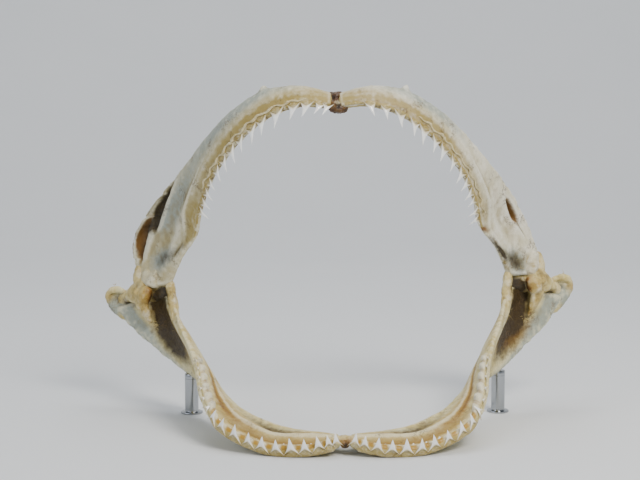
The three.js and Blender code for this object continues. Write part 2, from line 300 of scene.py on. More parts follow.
def write_mesh(name: str, skin: Skin) -> bpy.types.Mesh:
    """Puts a skin into a mesh, faces outwards, without the points that no face uses.

    The enclosed volume is a sixth of the sum of a.(b x c) over the triangles, and a negative
    one means that the corners run the wrong way round.

    Args:
        name: Name of the mesh.
        skin: Points in mm in the model's frame, and stains.

    Returns:
        The mesh, in metres, shaded smooth.
    """
    points = skin.points.reshape(-1, 3) * MM
    quads, triangles = skin.faces()
    halves = np.concatenate([quads[:, :3], quads[:, [0, 2, 3]], triangles])
    a, b, c = (points[halves[:, k]] - points.mean(0) for k in range(3))
    if (a * np.cross(b, c)).sum() < 0.0:
        quads, triangles = quads[:, ::-1], triangles[:, ::-1]
    corners = np.concatenate([quads.ravel(), triangles.ravel()])
    used, corners = np.unique(corners, return_inverse=True)
    counts = np.concatenate([np.full(len(quads), 4), np.full(len(triangles), 3)])
    starts = np.concatenate([[0], np.cumsum(counts)[:-1]])
    mesh = bpy.data.meshes.new(name)
    mesh.vertices.add(len(used))
    mesh.vertices.foreach_set("co", points[used].astype(np.float32).ravel())
    mesh.loops.add(len(corners))
    mesh.loops.foreach_set("vertex_index", corners.astype(np.int32).ravel())
    mesh.polygons.add(len(counts))
    mesh.polygons.foreach_set("loop_start", starts.astype(np.int32))
    mesh.update(calc_edges=True)
    mesh.validate()
    mesh.shade_smooth()
    for channel, values in skin.stains.items():
        write_stain(mesh, channel, values.reshape(-1)[used])
    return mesh


def write_stain(mesh: bpy.types.Mesh, channel: Channel, values: Array) -> None:
    """Keeps one number for each vertex, under the channel's name, for the materials to read."""
    attribute = mesh.attributes.new(channel.value, "FLOAT", "POINT")
    attribute.data.foreach_set("value", values.astype(np.float32))


def add_piece(mesh: bpy.types.Mesh, finish: "Finish", *nodes: str) -> bpy.types.Object:
    """Shows a mesh as a piece of the model.

    Args:
        mesh: The finished mesh, in the model's frame.
        finish: What it is made of.
        nodes: The CAD nodes that it stands for.

    Returns:
        The piece, riding on the model's one body.
    """
    piece = bpy.data.objects.new(mesh.name, mesh)
    bpy.context.scene.collection.objects.link(piece)
    mesh.materials.append(finish.material())
    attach(piece, "root")
    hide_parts(*nodes)
    LOG.info("%s: %d faces, %s", piece.name, len(mesh.polygons), finish.name)
    return piece


def modified(mesh: bpy.types.Mesh, modifiers: dict[str, dict]) -> bpy.types.Mesh:
    """Applies modifiers to a mesh, which is removed.

    Material slots and stains that come along from another piece are dropped.

    Args:
        mesh: The mesh to change.
        modifiers: The settings of each modifier, by its kind and in order.

    Returns:
        The changed mesh, under the same name.
    """
    name = mesh.name
    blank = bpy.data.objects.new(name, mesh)
    bpy.context.scene.collection.objects.link(blank)
    for kind, settings in modifiers.items():
        modifier = blank.modifiers.new(kind, kind)
        for key, value in settings.items():
            setattr(modifier, key, value)
    seen = blank.evaluated_get(bpy.context.evaluated_depsgraph_get())
    changed = bpy.data.meshes.new_from_object(seen)
    bpy.data.objects.remove(blank)
    bpy.data.meshes.remove(mesh)
    changed.name = name
    changed.materials.clear()
    changed.polygons.foreach_set("material_index", np.zeros(len(changed.polygons), np.int32))
    for channel in Channel:
        if channel.value in changed.attributes:
            changed.attributes.remove(changed.attributes[channel.value])
    return changed


# ---- Finishes -------------------------------------------------------------------------------


def linear(code: str) -> tuple[float, float, float, float]:
    """Linear colour of an sRGB hex code such as #E8E2D0."""
    channels = [int(code[k : k + 2], 16) / 255.0 for k in (1, 3, 5)]
    curved = [c / 12.92 if c <= 0.04045 else ((c + 0.055) / 1.055) ** 2.4 for c in channels]
    return (*curved, 1.0)


@dataclass(frozen=True)
class Graph:
    """A material's node tree. Most calls add one node and give its output socket."""

    tree: bpy.types.NodeTree

    def add(self, kind: str, output: str | int, inputs: dict, **settings) -> Socket:
        """Adds a node.

        Args:
            kind: Blender's name of the node type, without the leading ShaderNode.
            output: The name or number of the output to give.
            inputs: Values, hex colours or sockets, by the name or number of the input.
            **settings: Values of the node's own properties.

        Returns:
            The output socket.
        """
        node = self.tree.nodes.new("ShaderNode" + kind)
        for name, value in settings.items():
            setattr(node, name, value)
        for key, value in inputs.items():
            if isinstance(value, Socket):
                self.tree.links.new(value, node.inputs[key])
            else:
                node.inputs[key].default_value = linear(value) if isinstance(value, str) else value
        return node.outputs[output]

    def place(self) -> Socket:
        """Object coordinates, in metres."""
        return self.add("TexCoord", "Object", {})

    def noise(self, place: Socket, size: float, detail: float, roughness: float = 0.5,
              output: str = "Fac") -> Socket:
        """Noise whose largest features have a size in mm."""
        return self.add("TexNoise", output, {"Vector": place, "Scale": 1 / (size * MM),
                                             "Detail": detail, "Roughness": roughness})

    def cells(self, place: Socket, size: float, feature: str, output: str) -> Socket:
        """Voronoi cells of a size in mm."""
        return self.add("TexVoronoi", output, {"Vector": place, "Scale": 1 / (size * MM)},
                        feature=feature)

    def channel(self, channel: Channel) -> Socket:
        """The number that a piece keeps for each vertex under the channel's name."""
        return self.add("Attribute", "Fac", {}, attribute_name=channel.value)

    def math(self, operation: str, *values: Socket | float) -> Socket:
        """A sum on numbers and sockets."""
        return self.add("Math", 0, dict(enumerate(values)), operation=operation)

    def ramp(self, value: Socket, low: float, high: float,
             to: tuple[float, float] = (0.0, 1.0)) -> Socket:
        """A value taken from the range low to high to another range, and held inside it."""
        return self.add("MapRange", "Result", {"Value": value, "From Min": low, "From Max": high,
                                               "To Min": to[0], "To Max": to[1]})

    def mix(self, share: Socket, below: Socket | str, above: Socket | str) -> Socket:
        """One colour laid over another by a share."""
        return self.add("Mix", 2, {0: share, 6: below, 7: above}, data_type="RGBA")

    def bump(self, height: Socket, depth: float, normal: Socket | None = None,
             strength: float = 1.0) -> Socket:
        """Normals of a relief, depth mm high, or pressed in where depth is negative."""
        inputs = {"Height": height, "Strength": strength, "Distance": abs(depth) * MM}
        if normal is not None:
            inputs["Normal"] = normal
        return self.add("Bump", "Normal", inputs, invert=depth < 0)

    def close(self, inputs: dict) -> None:
        """Ends the tree in a principled shader."""
        shader = self.add("BsdfPrincipled", "BSDF", inputs)
        output = self.tree.nodes.new("ShaderNodeOutputMaterial")
        self.tree.links.new(shader, output.inputs["Surface"])


@dataclass(frozen=True)
class Stain:
    """A colour that a channel brings into a material."""

    channel: Channel
    colour: str
    strength: float = 1.0
    fray: float = 1.1


@dataclass(frozen=True)
class Finish:
    """What every finish has: the name of its real material and a slot name."""

    name: str
    slot: str

    def material(self) -> bpy.types.Material:
        """The material, made the first time that it is asked for."""
        found = bpy.data.materials.get(self.name)
        if found:
            return found
        made = bpy.data.materials.new(self.name)
        made.use_nodes = True
        made.node_tree.nodes.clear()
        self.lay_out(Graph(made.node_tree))
        return made

    def lay_out(self, graph: Graph) -> None:
        """Fills the node tree."""
        raise NotImplementedError


STAIN_RANGE = (0.13, 0.87)    # where a frayed channel starts to show, and where it is full
HOLLOW_RANGE = (0.08, 0.9)    # the same for the painted shade in a hollow, from the cavity channel
CREST_HIGHLIGHT_RANGE = (-0.12, -0.9)    # and for the painted highlight on a crest
CREST_HIGHLIGHT_STRENGTH = 0.6
FRAY_SIZE = 3.2               # mm, of the noise that breaks the stains' borders
AREA_SIZE = 9.0               # mm, of the areas that have specks or cracks
SPECK_RANGE = (0.335, 0.39)
WARP_SIZE, WARP = 5.0, 9.0    # mm, of the noise that bends the cracks, and how far it does
CRACK_RANGE = (0.022, 0.0)    # from a crack's border to its middle
CRACKED_RANGE = (0.52, 0.62)  # from an area without cracks to one with them
SEAM_RANGE = (0.16, 0.02)     # from a tile's border to the middle of the seam
SEAM_TONE, TILE_TONE = 0.13, 0.09


@dataclass(frozen=True)
class Tissue(Finish):
    """Dried animal tissue: mottled, stained, pitted and finely tiled, with a little light inside.

    Lengths are in mm. Two tones meet in broad clouds, stains come from the piece's channels with
    ragged borders, hollows are darker with painted shade and crests paler with a painted
    highlight, soaks cover all of that, specks and hairline cracks darken it, and mineral tiles
    and grain roughen it. Where a piece's marks put them, the dark soak and some stains are
    painted shade.
    """

    pale: str = "#D8D1B2"
    deep: str = "#BFB387"
    cloud: float = 14.0
    stains: tuple[Stain, ...] = ()
    soaks: tuple[Stain, ...] = ()
    # Colours of the painted shade in hollows, also used for the tile seams, and of the painted
    # highlight on crests.
    hollow: str = "#8A7436"
    hollow_strength: float = 0.5
    crest_highlight: str = "#EDE9D2"
    speck: float = 1.3
    speck_colour: str = "#5B4326"
    speck_share: float = 0.5
    crack: float = 11.0
    crack_strength: float = 0.6
    pit_depth: float = 0.12
    tile: float = 0.9
    tile_depth: float = 0.05
    grain: float = 0.45
    grain_depth: float = 0.06
    lump: float = 2.4
    lump_depth: float = 0.22
    rough: tuple[float, float] = (0.42, 0.68)
    subsurface: float = 0.08
    glow: tuple[float, float, float] = (1.0, 0.8, 0.45)
    depth: float = 1.2
    coat: float = 0.0

    def lay_out(self, graph: Graph) -> None:
        """Fills the node tree."""
        place = graph.place()
        ragged = graph.noise(place, FRAY_SIZE, 5.0, 0.65)
        clouds = graph.noise(place, self.cloud, 4.0)
        colour = graph.mix(graph.ramp(clouds, 0.36, 0.64), self.pale, self.deep)
        colour = self.lay_stains(graph, colour, ragged, self.stains)
        # Painted shade in the hollows and a painted highlight on the crests.
        colour = self.lay_hollow_shade_and_crest_highlight(graph, colour)
        colour = self.lay_stains(graph, colour, ragged, self.soaks)
        colour, pits = self.lay_specks(graph, colour, place)
        colour, seams = self.lay_tiles(graph, colour, place)
        grain = graph.noise(place, self.grain, 3.0)
        lumps = graph.noise(place, self.lump, 3.0)
        normal = graph.bump(lumps, self.lump_depth)
        for height, depth in ((pits, -self.pit_depth), (seams, -self.tile_depth),
                              (grain, self.grain_depth)):
            normal = graph.bump(height, depth, normal)
        graph.close({
            "Base Color": colour, "Roughness": graph.ramp(lumps, 0.3, 0.7, self.rough),
            "Normal": normal, "IOR": 1.43, "Subsurface Weight": self.subsurface,
            "Subsurface Radius": self.glow, "Subsurface Scale": self.depth * MM,
            "Coat Weight": self.coat, "Coat Roughness": 0.25,
        })

    def lay_stains(self, graph: Graph, colour: Socket, ragged: Socket,
                   stains: tuple[Stain, ...]) -> Socket:
        """Lays each stain over the colour where channel + fray (noise - 0.5) passes a half.

        Args:
            graph: The material's node tree.
            colour: The colour so far.
            ragged: Noise from 0 to 1 that breaks the stains' borders.
            stains: What to lay, the first lowest.

        Returns:
            The stained colour.
        """
        for stain in stains:
            frayed = graph.math("MULTIPLY_ADD", ragged, stain.fray, graph.channel(stain.channel))
            low, high = (limit + stain.fray / 2 for limit in STAIN_RANGE)
            colour = graph.mix(graph.ramp(frayed, low, high, (0.0, stain.strength)), colour,
                               stain.colour)
        return colour

    def lay_hollow_shade_and_crest_highlight(self, graph: Graph, colour: Socket) -> Socket:
        """Paints shade into the hollows and a highlight onto the crests, by the cavity channel.

        Args:
            graph: The material's node tree.
            colour: The colour so far.

        Returns:
            The colour with the painted shade and highlight.
        """
        cavity = graph.channel(Channel.CAVITY)
        for limits, strength, code in ((HOLLOW_RANGE, self.hollow_strength, self.hollow),
                                       (CREST_HIGHLIGHT_RANGE, CREST_HIGHLIGHT_STRENGTH, self.crest_highlight)):
            colour = graph.mix(graph.ramp(cavity, *limits, (0.0, strength)), colour, code)
        return colour

    def lay_specks(self, graph: Graph, colour: Socket, place: Socket) -> tuple[Socket, Socket]:
        """Darkens scattered specks and hairline cracks.

        Args:
            graph: The material's node tree.
            colour: The colour so far.
            place: Object coordinates.

        Returns:
            The darkened colour, and how deep each point lies in a speck or crack, 0 to 1.
        """
        areas = graph.noise(place, AREA_SIZE, 2.0)
        fine = graph.noise(place, self.speck, 4.0, 0.7)
        specks = graph.ramp(graph.math("MULTIPLY", fine, areas), *SPECK_RANGE)
        warp = graph.noise(place, WARP_SIZE, 5.0, output="Color")
        bent = graph.add("VectorMath", 0, {0: warp, 1: (WARP * MM,) * 3, 2: place},
                         operation="MULTIPLY_ADD")
        edge = graph.cells(bent, self.crack, "DISTANCE_TO_EDGE", "Distance")
        cracks = graph.math("MULTIPLY", graph.ramp(edge, *CRACK_RANGE),
                            graph.ramp(areas, *CRACKED_RANGE))
        for mask, strength in ((specks, self.speck_share), (cracks, self.crack_strength)):
            colour = graph.mix(graph.math("MULTIPLY", mask, strength), colour, self.speck_colour)
        return colour, graph.math("MAXIMUM", specks, cracks)

    def lay_tiles(self, graph: Graph, colour: Socket, place: Socket) -> tuple[Socket, Socket]:
        """Draws the mosaic of mineral tiles as slightly darker seams and uneven tile tones.

        Args:
            graph: The material's node tree.
            colour: The colour so far.
            place: Object coordinates.

        Returns:
            The colour, and 1 in a seam falling to 0 inside a tile.
        """
        edge = graph.cells(place, self.tile, "DISTANCE_TO_EDGE", "Distance")
        seam = graph.ramp(edge, *SEAM_RANGE)
        cell = graph.cells(place, self.tile, "F1", "Color")
        tone = graph.add("SeparateColor", 0, {"Color": cell})
        line = graph.math("MULTIPLY_ADD", seam, SEAM_TONE, graph.math("MULTIPLY", tone, TILE_TONE))
        return graph.mix(line, colour, self.hollow), seam


@dataclass(frozen=True)
class Enameloid(Finish):
    """Tooth enameloid over dentine: glossy white blades, creamier and rougher at the root."""

    crown: str = "#FAFAF6"
    root: str = "#DDD0AC"

    def lay_out(self, graph: Graph) -> None:
        """Fills the node tree."""
        streaks = graph.noise(graph.place(), 1.4, 4.0)
        edge = graph.math("MULTIPLY_ADD", streaks, 0.5, graph.channel(Channel.GOLD))
        share = graph.ramp(edge, 0.45, 1.15)
        graph.close({
            "Base Color": graph.mix(share, self.crown, self.root),
            "Roughness": graph.ramp(share, 0.0, 1.0, (0.16, 0.5)),
            "Normal": graph.bump(streaks, 0.05), "IOR": 1.62, "Subsurface Weight": 0.08,
            "Subsurface Radius": (1.0, 0.85, 0.6), "Subsurface Scale": 0.5 * MM,
            "Coat Weight": 0.3, "Coat Roughness": 0.08,
        })


@dataclass(frozen=True)
class TurnedSteel(Finish):
    """Stainless steel, turned and polished: bright, with the lathe's fine rings round it."""

    colour: str = "#A6A9AC"
    ring: float = 0.35

    def lay_out(self, graph: Graph) -> None:
        """Fills the node tree."""
        place = graph.place()
        drawn = graph.add("Mapping", "Vector", {"Vector": place, "Scale": (0.02, 0.02, 1.0)})
        rings = graph.noise(drawn, self.ring, 3.0)
        smudges = graph.noise(place, 4.0, 4.0)
        graph.close({
            "Base Color": self.colour, "Metallic": 1.0,
            "Roughness": graph.ramp(smudges, 0.3, 0.75, (0.09, 0.24)),
            "Normal": graph.bump(rings, 0.01, strength=0.6),
        })


@dataclass(frozen=True)
class PaperSweep(Finish):
    """Matt studio paper, pale and cool, with a faint unevenness."""

    colour: str = "#E3E5E7"
    shade: str = "#DDE0E3"

    def lay_out(self, graph: Graph) -> None:
        """Fills the node tree."""
        blotch = graph.noise(graph.place(), 180.0, 3.0)
        graph.close({"Base Color": graph.mix(blotch, self.colour, self.shade), "Roughness": 0.75})


# Air-dried calcified cartilage: chalky cream with blue-grey skin, honey stains and a fine mosaic.
CARTILAGE = Tissue(
    "dried_calcified_cartilage", "cartilage",
    stains=(Stain(Channel.GREY, "#97A29C", 0.88, 0.8), Stain(Channel.GOLD, "#9A8438", 0.82, 0.6)),
    soaks=(Stain(Channel.AMBER, "#6E4404", 0.95, 0.8), Stain(Channel.DARK, "#150A04", 0.97, 0.9)),
    tile_depth=0.035,
)
# The same cartilage with painted light, for the brightly lit right upper plate: nearly white,
# with the stains a little weaker.
CARTILAGE_PAINTED_LIGHT = replace(CARTILAGE, name="calcified_cartilage_painted_light", pale="#ECE8D6",
                   deep="#D2CBAC", crest_highlight="#F4F1E2")
# The same cartilage, with the fat still in it: butter yellow, translucent and a little waxy.
BUTTERY = replace(
    CARTILAGE, name="fatty_calcified_cartilage", pale="#E2D8A8", deep="#CDBC78", crest_highlight="#F0EAC8",
    stains=(Stain(Channel.GREY, "#97A29C", 0.88, 0.8), Stain(Channel.GOLD, "#B08C34", 0.85, 0.7)),
    soaks=(Stain(Channel.AMBER, "#80560C", 0.92, 0.8), Stain(Channel.DARK, "#1C0C02", 0.97, 0.9)),
    subsurface=0.12, coat=0.08,
)
# Air-dried gum: thin, stretched and half clear, straw over the roots and orange between them.
GUM = Tissue(
    "dried_gum_tissue", "tooth_band", pale="#D0C48C", deep="#BAA55A", cloud=7.0,
    stains=(Stain(Channel.GREY, "#E6E0C6", 0.9, 0.7), Stain(Channel.GOLD, "#98803A", 0.82, 0.7)),
    soaks=(Stain(Channel.AMBER, "#A87E0C", 0.92, 0.7), Stain(Channel.DARK, "#3A2208", 0.9)),
    hollow="#7E6220", hollow_strength=0.6, crest_highlight="#E8E1C6", tile_depth=0.01, speck_share=0.35,
    rough=(0.3, 0.55), subsurface=0.12, depth=1.6, coat=0.15,
)
# Air-dried ligament: hard, lumpy and waxy, cream with a painted highlight on the crests and
# tan with painted shade in the folds.
LIGAMENT = Tissue(
    "dried_joint_ligament", "ligament", pale="#DCCD94", deep="#C2AC68", cloud=9.0,
    stains=(Stain(Channel.GREY, "#8A876C", 0.85), Stain(Channel.GOLD, "#A88734", 0.85)),
    soaks=(Stain(Channel.AMBER, "#8A5510", 0.9), Stain(Channel.DARK, "#150A04", 0.97)),
    hollow="#806324", hollow_strength=0.6, crest_highlight="#EFE9D0", tile_depth=0.01, crack=6.0,
    grain_depth=0.07, rough=(0.34, 0.6), subsurface=0.1, depth=1.6, coat=0.1,
)
# The same ligament, where it joins the two lower jaws at the middle.
MIDLINE = replace(LIGAMENT, name="dried_midline_ligament", slot="membrane")
# Air-dried membrane: thin brown glue-like skin that lights up amber where it is thin.
MEMBRANE = Tissue(
    "dried_brown_membrane", "membrane", pale="#4E2E10", deep="#261608", cloud=4.0,
    stains=(Stain(Channel.GREY, "#B3A883", 0.9), Stain(Channel.GOLD, "#8F6A2A", 0.85)),
    hollow="#140A04", hollow_strength=0.8, crest_highlight="#7A5826", tile_depth=0.01, grain_depth=0.1,
    rough=(0.3, 0.55), subsurface=0.1, glow=(1.0, 0.5, 0.2), depth=2.0, coat=0.2,
)
ENAMELOID = Enameloid("tooth_enameloid", "tooth_band")
STEEL = TurnedSteel("turned_stainless_steel", "steel")
PAPER = PaperSweep("studio_paper", "")


# ---- Cartilage plates -----------------------------------------------------------------------


@dataclass(frozen=True)
class Mark:
    """A soft spot on a plate's face, exp(-(r^2)^steep) high, r being the distance in reaches."""

    face: Face
    channel: Channel
    t: float
    u: float
    along_reach: float
    across_reach: float
    amount: float
    drift: float = 0.0
    steep: float = 1.0

    def over(self, t: Array, u: Array) -> Array:
        """The mark's amount at places t along the bone and u across it."""
        dt = t - self.t
        du = u - self.u - self.drift * dt
        square = (dt / self.along_reach) ** 2 + (du / self.across_reach) ** 2
        return self.amount * np.exp(-(square**self.steep))


@dataclass(frozen=True)
class Notch:
    """Where a plate's far edge draws back, depth exp(-|dt / width|^power): a tear, or a swell."""

    at: float
    width: float
    depth: float
    power: float = 1.0


@dataclass(frozen=True)
class JawBone:
    """One cartilage plate: a skin round a chord from the tooth edge to the far edge.

    Lump, pebble and rim are the height and size in mm of the noise that roughens the skin.
    """

    word: str
    side: int
    tooth: Rows
    far: Rows
    bend: tuple[float, ...]
    near_half: tuple[float, ...]
    far_half: tuple[float, ...]
    marks: tuple[Mark, ...]
    notches: tuple[Notch, ...] = ()
    finish: Tissue = CARTILAGE
    flare: float = 0.0
    flare_at: float = 0.76
    flare_width: float = 0.13
    roundness: float = 0.72
    cap: float = 0.016
    lump: tuple[float, float] = (0.24, 12.0)
    pebble: tuple[float, float] = (0.09, 2.6)
    rim: tuple[float, float] = (0.5, 3.4)
    hollow_passes: int = 26
    hollow_depth: float = 0.22
    rows: int = 430
    columns: int = 200
    seed: int = 1

    @property
    def name(self) -> str:
        """The name of the CAD node that the plate stands for."""
        return f"{self.word}_jaw_{SIDE_WORDS[self.side]}"

    def frame(self, t: Array) -> tuple[Array, Array, Array, Array, Array]:
        """Edge points at t, and the directions along the bone, across it and out of its face."""
        near, far = along(self.tooth, t), along(self.far, t)
        before, after = np.clip(t - 0.01, 0, 1), np.clip(t + 0.01, 0, 1)
        ends = [along(self.tooth, s) + along(self.far, s) for s in (before, after)]
        run = unit(ends[1] - ends[0])
        across = unit(far - near)
        return near, far, run, across, unit(np.cross(run, across))

    def end_round(self, t: Array) -> Array:
        """1 along the bone, falling to 0 on a quarter circle over the cap at both ends."""
        k = np.maximum(0.0, np.maximum(1 - t / self.cap, 1 - (1 - t) / self.cap))
        return np.sqrt(np.maximum(0.0, 1 - k * k))

    def sum_marks(self, channel: Channel, t: Array, u: Array, top: Array) -> Array:
        """The sum of a channel's marks, each on its own face only."""
        total = np.zeros_like(t)
        for mark in self.marks:
            if mark.channel is channel:
                total += np.where(top == (mark.face is Face.TOP), mark.over(t, u), 0.0)
        return total

    def torn_edge(self, t: Array) -> Array:
        """How far the far edge draws back at t: fine raggedness, and the notches' sharp peaks."""
        line = edge_line(t, y=3.0 * self.seed)
        edge = 0.5 + 0.5 * layered_noise(line, 5.0, self.seed + 40)
        for notch in self.notches:
            far = np.abs((t - notch.at) / notch.width)
            edge = edge + notch.depth * np.exp(-(far**notch.power))
        return edge

    def surface(self, t: Array, angle: Array) -> tuple[Array, Array, Array]:
        """The plate's skin, before it is roughened.

        The chord runs from the tooth edge to the far edge, its middle bowed out of the face. On
        both sides of it the skin stands off by the half thickness times |sin angle|^roundness,
        and the marks in relief and the end caps change that thickness. A flare lifts the far edge
        by u^4, and the torn edge draws back by u^8, so that both leave the tooth edge alone.

        Args:
            t: Places along the bone, 0 to 1.
            angle: Angles round the section, 0 at the tooth edge and pi at the far edge.

        Returns:
            Points in mm, the share u across the bone, and where the top face is.
        """
        near, far, _, across, up = self.frame(t)
        flare = self.flare * bump(t, self.flare_at, self.flare_width)
        depth = np.linalg.norm(far - near, axis=-1) + flare
        u = (1 - np.cos(angle)) / 2
        top = np.sin(angle) >= 0
        cap = self.end_round(t)
        half = along(self.near_half, t) * (1 - u) + along(self.far_half, t) * u
        relief = self.sum_marks(Channel.RELIEF, t, u, top)
        thick = (half + relief) * cap * np.abs(np.sin(angle)) ** self.roundness
        middle = along(self.bend, t) * 4 * u * (1 - u) + 0.5 * flare * u**4
        reach = (u - 0.5) * depth * (0.9 + 0.1 * cap) + depth / 2 - self.torn_edge(t) * u**8
        points = near + across * reach[..., None]
        return points + up * (middle + np.where(top, thick, -thick))[..., None], u, top

    def skin(self, layout: Layout) -> Skin:
        """The roughened, stained skin of the whole plate."""
        turn = np.linspace(0.0, math.pi / 2, 9)[:-1]
        start = self.cap * (1 - np.cos(turn))
        middle = np.linspace(self.cap, 1 - self.cap, self.rows)
        stations = np.concatenate([start, middle, 1 - start[::-1]])
        t, angle = np.meshgrid(stations, circle(self.columns), indexing="ij")
        points, u, top = self.surface(t, angle)
        normals = grid_normals(points)
        lumps = self.lump[0] * layered_noise(points, self.lump[1], self.seed, 3)
        pebbles = self.pebble[0] * layered_noise(points, self.pebble[1], self.seed + 9, 2)
        rim = self.rim[0] * np.maximum(bump(u, 1.0, 0.06), 0.5 * bump(u, 0.0, 0.05))
        rough_rim = rim * layered_noise(points, self.rim[1], self.seed + 21, 3)
        height = (lumps + pebbles + rough_rim) * self.end_round(t)
        points = points + normals * height[..., None]
        hollow = hollowness(points, normals, self.hollow_passes, self.hollow_depth)
        hollow = hollow * step_between(np.minimum(t, 1 - t), 0.004, 0.03)
        stains = {c: self.sum_marks(c, t, u, top)[None] for c in STAINS}
        stains[Channel.CAVITY] = np.clip(hollow, -1.0, 1.0)[None]
        return Skin(layout.settle(points, self.side)[None], Seal.FOLD, stains)

    def build(self, layout: Layout) -> bpy.types.Object:
        """Makes the plate's piece."""
        mesh = write_mesh(self.name + "_plate", self.skin(layout))
        return add_piece(mesh, self.finish, self.name)


# A mark on the top face, and one on the face behind.
top = functools.partial(Mark, Face.TOP)
under = functools.partial(Mark, Face.UNDER)
# Short names for the tables below.
R, GOLD, AMBER = Channel.RELIEF, Channel.GOLD, Channel.AMBER
DARK, GREY = Channel.DARK, Channel.GREY

LOWER_MARKS = (
    # The groove behind the teeth and the lip behind the groove.
    top(R, 0.07, 0.62, 0.09, 0.2, 1.5), top(R, 0.12, 0.3, 0.3, 0.13, -2.2),
    top(R, 0.18, 0.2, 0.22, 0.12, -1.6), top(R, 0.2, 0.45, 0.3, 0.06, 0.9),
    top(GOLD, 0.16, 0.2, 0.24, 0.17, 1.2), top(AMBER, 0.14, 0.24, 0.17, 0.09, 0.6),
    top(R, 0.46, 0.42, 0.14, 0.05, -1.2), top(GOLD, 0.46, 0.41, 0.14, 0.1, 1.1),
    top(AMBER, 0.42, 0.38, 0.16, 0.075, 0.85), top(GOLD, 0.38, 0.58, 0.3, 0.12, 0.6),
    # Painted shade on the lingual face behind the lip: a brown wash near the far edge and a dark
    # band behind the lip.
    top(GOLD, 0.2, 0.95, 0.2, 0.1, 0.9), top(DARK, 0.21, 0.68, 0.1, 0.13, 0.75, 0.5),
    top(R, 0.21, 0.64, 0.1, 0.1, -1.4, 0.5), top(R, 0.25, 0.92, 0.13, 0.09, 3.4),
    top(GOLD, 0.1, 0.5, 0.12, 0.16, 0.5),
    top(GREY, 0.75, 0.6, 0.18, 0.3, 0.5), top(GOLD, 0.8, 0.1, 0.2, 0.14, 0.5),
    # The ridge and the rim of the outer face, and the deep hollow between them.
    under(R, 0.72, 0.16, 0.22, 0.1, 1.8), under(R, 0.72, 0.92, 0.22, 0.12, 2.0),
    under(R, 0.9, 0.34, 0.07, 0.17, -2.6, -0.8),
    under(DARK, 0.9, 0.33, 0.07, 0.17, 1.25, -1.2, 1.6),
    under(DARK, 0.965, 0.25, 0.035, 0.15, 1.35, -1.2, 1.5),
    under(R, 0.97, 0.26, 0.03, 0.13, -1.6), top(DARK, 0.985, 0.2, 0.022, 0.16, 1.2),
    under(AMBER, 0.88, 0.36, 0.1, 0.22, 0.75, -1.0), under(GOLD, 0.77, 0.48, 0.1, 0.26, 0.95),
    # Painted shade in the fossa of the outer face.
    under(DARK, 0.785, 0.57, 0.115, 0.25, 1.1, -0.8, 2.0), under(R, 0.79, 0.5, 0.1, 0.2, -1.0),
    under(GREY, 0.93, 0.86, 0.12, 0.16, 1.25, 0.0, 1.6), under(GREY, 0.77, 0.94, 0.15, 0.08, 1.0),
    under(GOLD, 0.9, 0.04, 0.1, 0.08, 0.55), under(GOLD, 0.15, 0.3, 0.2, 0.3, 0.45),
    under(R, 0.15, 0.12, 0.3, 0.06, -0.8), under(AMBER, 0.12, 0.13, 0.12, 0.05, 0.4),
    under(GREY, 0.45, 0.6, 0.16, 0.3, 0.4),
)
LOWER_LEFT_MARKS = (
    under(DARK, 0.985, 0.62, 0.03, 0.14, 0.6), under(GREY, 0.99, 0.85, 0.03, 0.18, 1.1),
    under(DARK, 0.995, 0.85, 0.012, 0.12, 0.45), top(GREY, 0.99, 0.85, 0.02, 0.18, 1.0),
)
LOWER_RIGHT_MARKS = (
    under(DARK, 0.84, 0.42, 0.07, 0.18, 0.6, -1.6, 1.4), under(DARK, 0.77, 0.68, 0.05, 0.12, -0.6),
    under(AMBER, 0.79, 0.62, 0.07, 0.2, 1.1), under(GREY, 0.985, 0.78, 0.03, 0.16, 0.95),
    under(DARK, 0.985, 0.68, 0.02, 0.08, 0.45),
)
UPPER_MARKS = (
    # Honey along the gum, blue-grey along the back, partly the skin's own tone and partly painted
    # cool shade, and a ridge that runs to the joint.
    top(GOLD, 0.26, 0.14, 0.36, 0.26, 1.25), top(GOLD, 0.05, 0.4, 0.11, 0.5, 0.8),
    top(AMBER, 0.3, 0.1, 0.34, 0.09, 0.3), top(R, 0.32, 0.2, 0.34, 0.1, -0.6),
    top(GREY, 0.36, 0.78, 0.24, 0.32, 1.15),
    top(R, 0.72, 0.3, 0.18, 0.1, 1.2), top(R, 0.72, 0.6, 0.18, 0.2, -1.3),
    top(R, 0.67, 0.29, 0.1, 0.028, 1.2, -1.1),
    under(GOLD, 0.3, 0.15, 0.4, 0.2, 0.8), under(GREY, 0.4, 0.6, 0.3, 0.3, 0.6),
    under(AMBER, 0.85, 0.5, 0.1, 0.25, 0.5), under(GOLD, 0.85, 0.5, 0.15, 0.35, 0.6),
)
